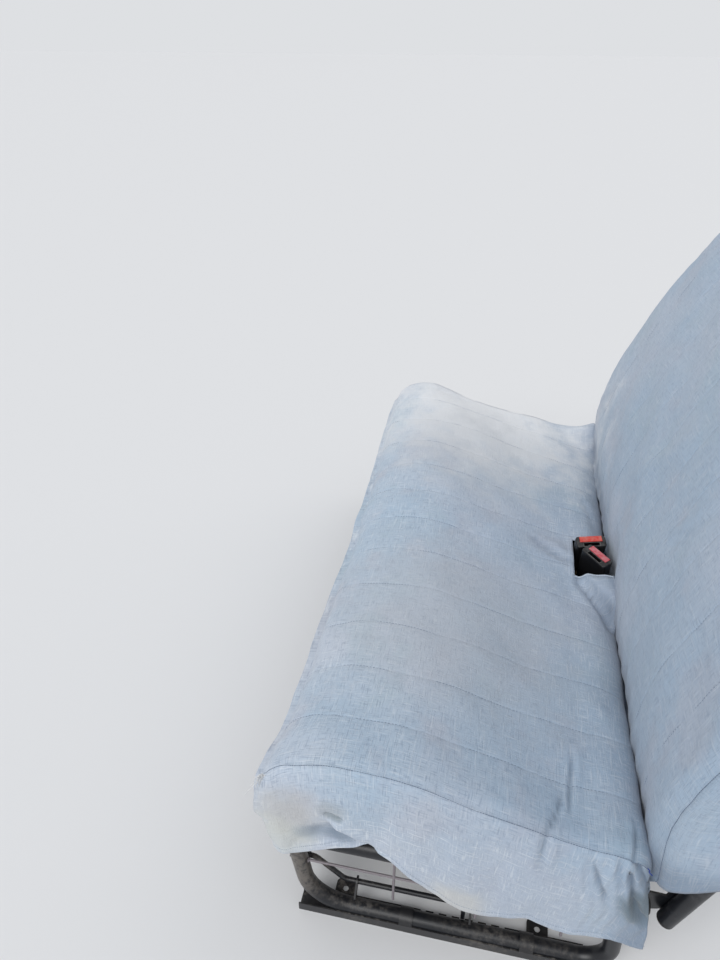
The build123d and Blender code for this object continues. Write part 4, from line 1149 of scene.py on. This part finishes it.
def dusty_plastic(name, colour, dust, roughness):
    """Moulded plastic whose upward faces hold dust, fingered clean in patches."""
    finish = Finish(name, Specular_IOR_Level=0.45)
    where = finish.place()
    up = finish.axes(finish.node("ShaderNodeNewGeometry", out="Normal"))[2]
    patches = finish.noise(where, 130.0, 4.0, 0.6)
    grain = finish.noise(where, 1500.0, 2.0, 0.6)
    settled = up.ramp(0.45, 0.95) * patches.ramp(0.30, 0.66)
    finish.feed(Base_Color=finish.blend(settled * 0.6 + patches.ramp(0.55, 0.8) * 0.12, colour, dust),
                Roughness=roughness + settled * 0.3, Normal=finish.bump(grain, 0.0002, 0.4))
    return finish.material


dress(dusty_plastic("buckle_plastic", (0.006, 0.006, 0.007), dust=(0.085, 0.082, 0.078), roughness=0.42),
      "buckle_driver", "buckle_passenger")
dress(dusty_plastic("button_red", (0.55, 0.030, 0.022), dust=(0.56, 0.20, 0.16), roughness=0.36),
      "button_passenger")
dress(dusty_plastic("button_faded", (0.50, 0.055, 0.075), dust=(0.56, 0.30, 0.31), roughness=0.45),
      "button_driver")


# Each case has a thin raised rim in front of its button. Its outer and inner edges are given by a half
# length and by two places across the case.
rim_edges = ((0.0168, -0.0118, -0.0022), (0.0156, -0.0108, -0.0031))
rim_levels = (-0.0002, 0.0006)
rim_points, rim_faces = [], []
for place, turn, lean in (((-0.0096, 0.2206, 0.3098), -46, 10), ((-0.0572, 0.2126, 0.3066), 12, 20)):
    matrix = (Matrix.Translation(place) @ Matrix.Rotation(math.radians(lean), 4, "Y")
              @ Matrix.Rotation(math.radians(90 + turn), 4, "Z"))
    first = len(rim_points)
    rim_points += [matrix @ Vector((x, y, level)) for half, low, high in rim_edges for level in rim_levels
                   for x, y in ((-half, low), (half, low), (half, high), (-half, high))]
    for i, j in ((0, 1), (1, 2), (2, 3), (3, 0)):
        rim_faces += [[first + corner for corner in face] for face in (
            (i, j, j + 4, i + 4), (i + 4, j + 4, j + 12, i + 12),
            (i + 12, j + 12, j + 8, i + 8), (i + 8, j + 8, j, i))]
rim_mesh = bpy.data.meshes.new("buckle_rims")
rim_mesh.from_pydata(rim_points, [], rim_faces)
rim_plastic = dusty_plastic("rim_plastic", (0.06, 0.056, 0.052), dust=(0.19, 0.18, 0.17), roughness=0.4)
rim_mesh.materials.append(rim_plastic)
placed("buckle_rims", rim_mesh, "seat")
dress(belt_webbing("webbing"), "stalk_driver", "stalk_passenger")


# Welds and bolts: ropy beads round the ends of the cross rails and at the side wires' joints, painted with
# the frame, and hexagon bolts through the stalks' feet.
def circle_run(centre, axis, radius, count=25):
    """Points round a circle about an axis through its centre."""
    turn = np.linspace(0, 2 * math.pi, count)[:, None]
    first = Vector(axis).orthogonal().normalized()
    second = Vector(axis).cross(first)
    return np.array(centre) + radius * (np.cos(turn) * np.array(first) + np.sin(turn) * np.array(second))


rail_radius, sled_inner_x, wire_x, wire_z, rail_under_z = 0.0128, 0.5600, 0.573, 0.118, 0.1668
tube_welds, wire_welds = [], []
for side in (-1, 1):
    for y, z in ((0.246, 0.182), (0.3298, 0.2618)):
        tube_welds.append(circle_run((side * sled_inner_x, y, z), (1, 0, 0), rail_radius))
    wire_welds.append(circle_run((side * wire_x, -0.1990, wire_z), (0, 1, 0), 0.0022, 9))
    for y in (-0.070, 0.053, 0.176):
        wire_welds.append(circle_run((side * wire_x, y, rail_under_z), (0, 0, 1), 0.0020, 9))
        wire_welds.append(np.array([(side * wire_x, y + off, wire_z) for off in (-0.0028, 0.0028)]))
weld_steel = painted_steel("weld_steel", paint=(0.012, 0.012, 0.014), wear=(0.15, 0.11, 0.085),
                           dust=(0.17, 0.15, 0.13))
sew("weld_beads", tube_welds, weld_steel, pitch=0.0026, length=0.0050, width=0.0046)
sew("wire_beads", wire_welds, wire_paint, pitch=0.0018, length=0.0034, width=0.0038)


def hex_bolt(work, centre, radius, height):
    """A hexagon head on a washer, facing the front."""
    def prism(sides, reach, start, end, bevel):
        rings = []
        for y, size in ((start, reach), (end + bevel, reach), (end, reach - bevel)):
            around = [(size * math.cos(turn), y, size * math.sin(turn))
                      for turn in np.linspace(0, 2 * math.pi, sides, endpoint=False)]
            rings.append([work.verts.new(Vector(centre) + Vector(point)) for point in around])
        work.faces.new(rings[0])
        work.faces.new(rings[-1])
        for low, high in zip(rings, rings[1:]):
            for i in range(sides):
                work.faces.new((low[i], low[(i + 1) % sides], high[(i + 1) % sides], high[i]))
    washer = 0.0018
    prism(28, radius * 1.35, 0, -washer, 0.0003)
    prism(6, radius, -washer, -washer - height, 0.0008)


bolts = bmesh.new()
for x in (-0.026, -0.086):
    hex_bolt(bolts, (x, 0.2261, 0.178), radius=0.0085, height=0.0060)
bmesh.ops.recalc_face_normals(bolts, faces=bolts.faces)
bolt_mesh = bpy.data.meshes.new("stalk_bolts")
bolts.to_mesh(bolt_mesh)
bolts.free()
bolt_mesh.materials.append(zinc.material)
placed("stalk_bolts", bolt_mesh, "seat")
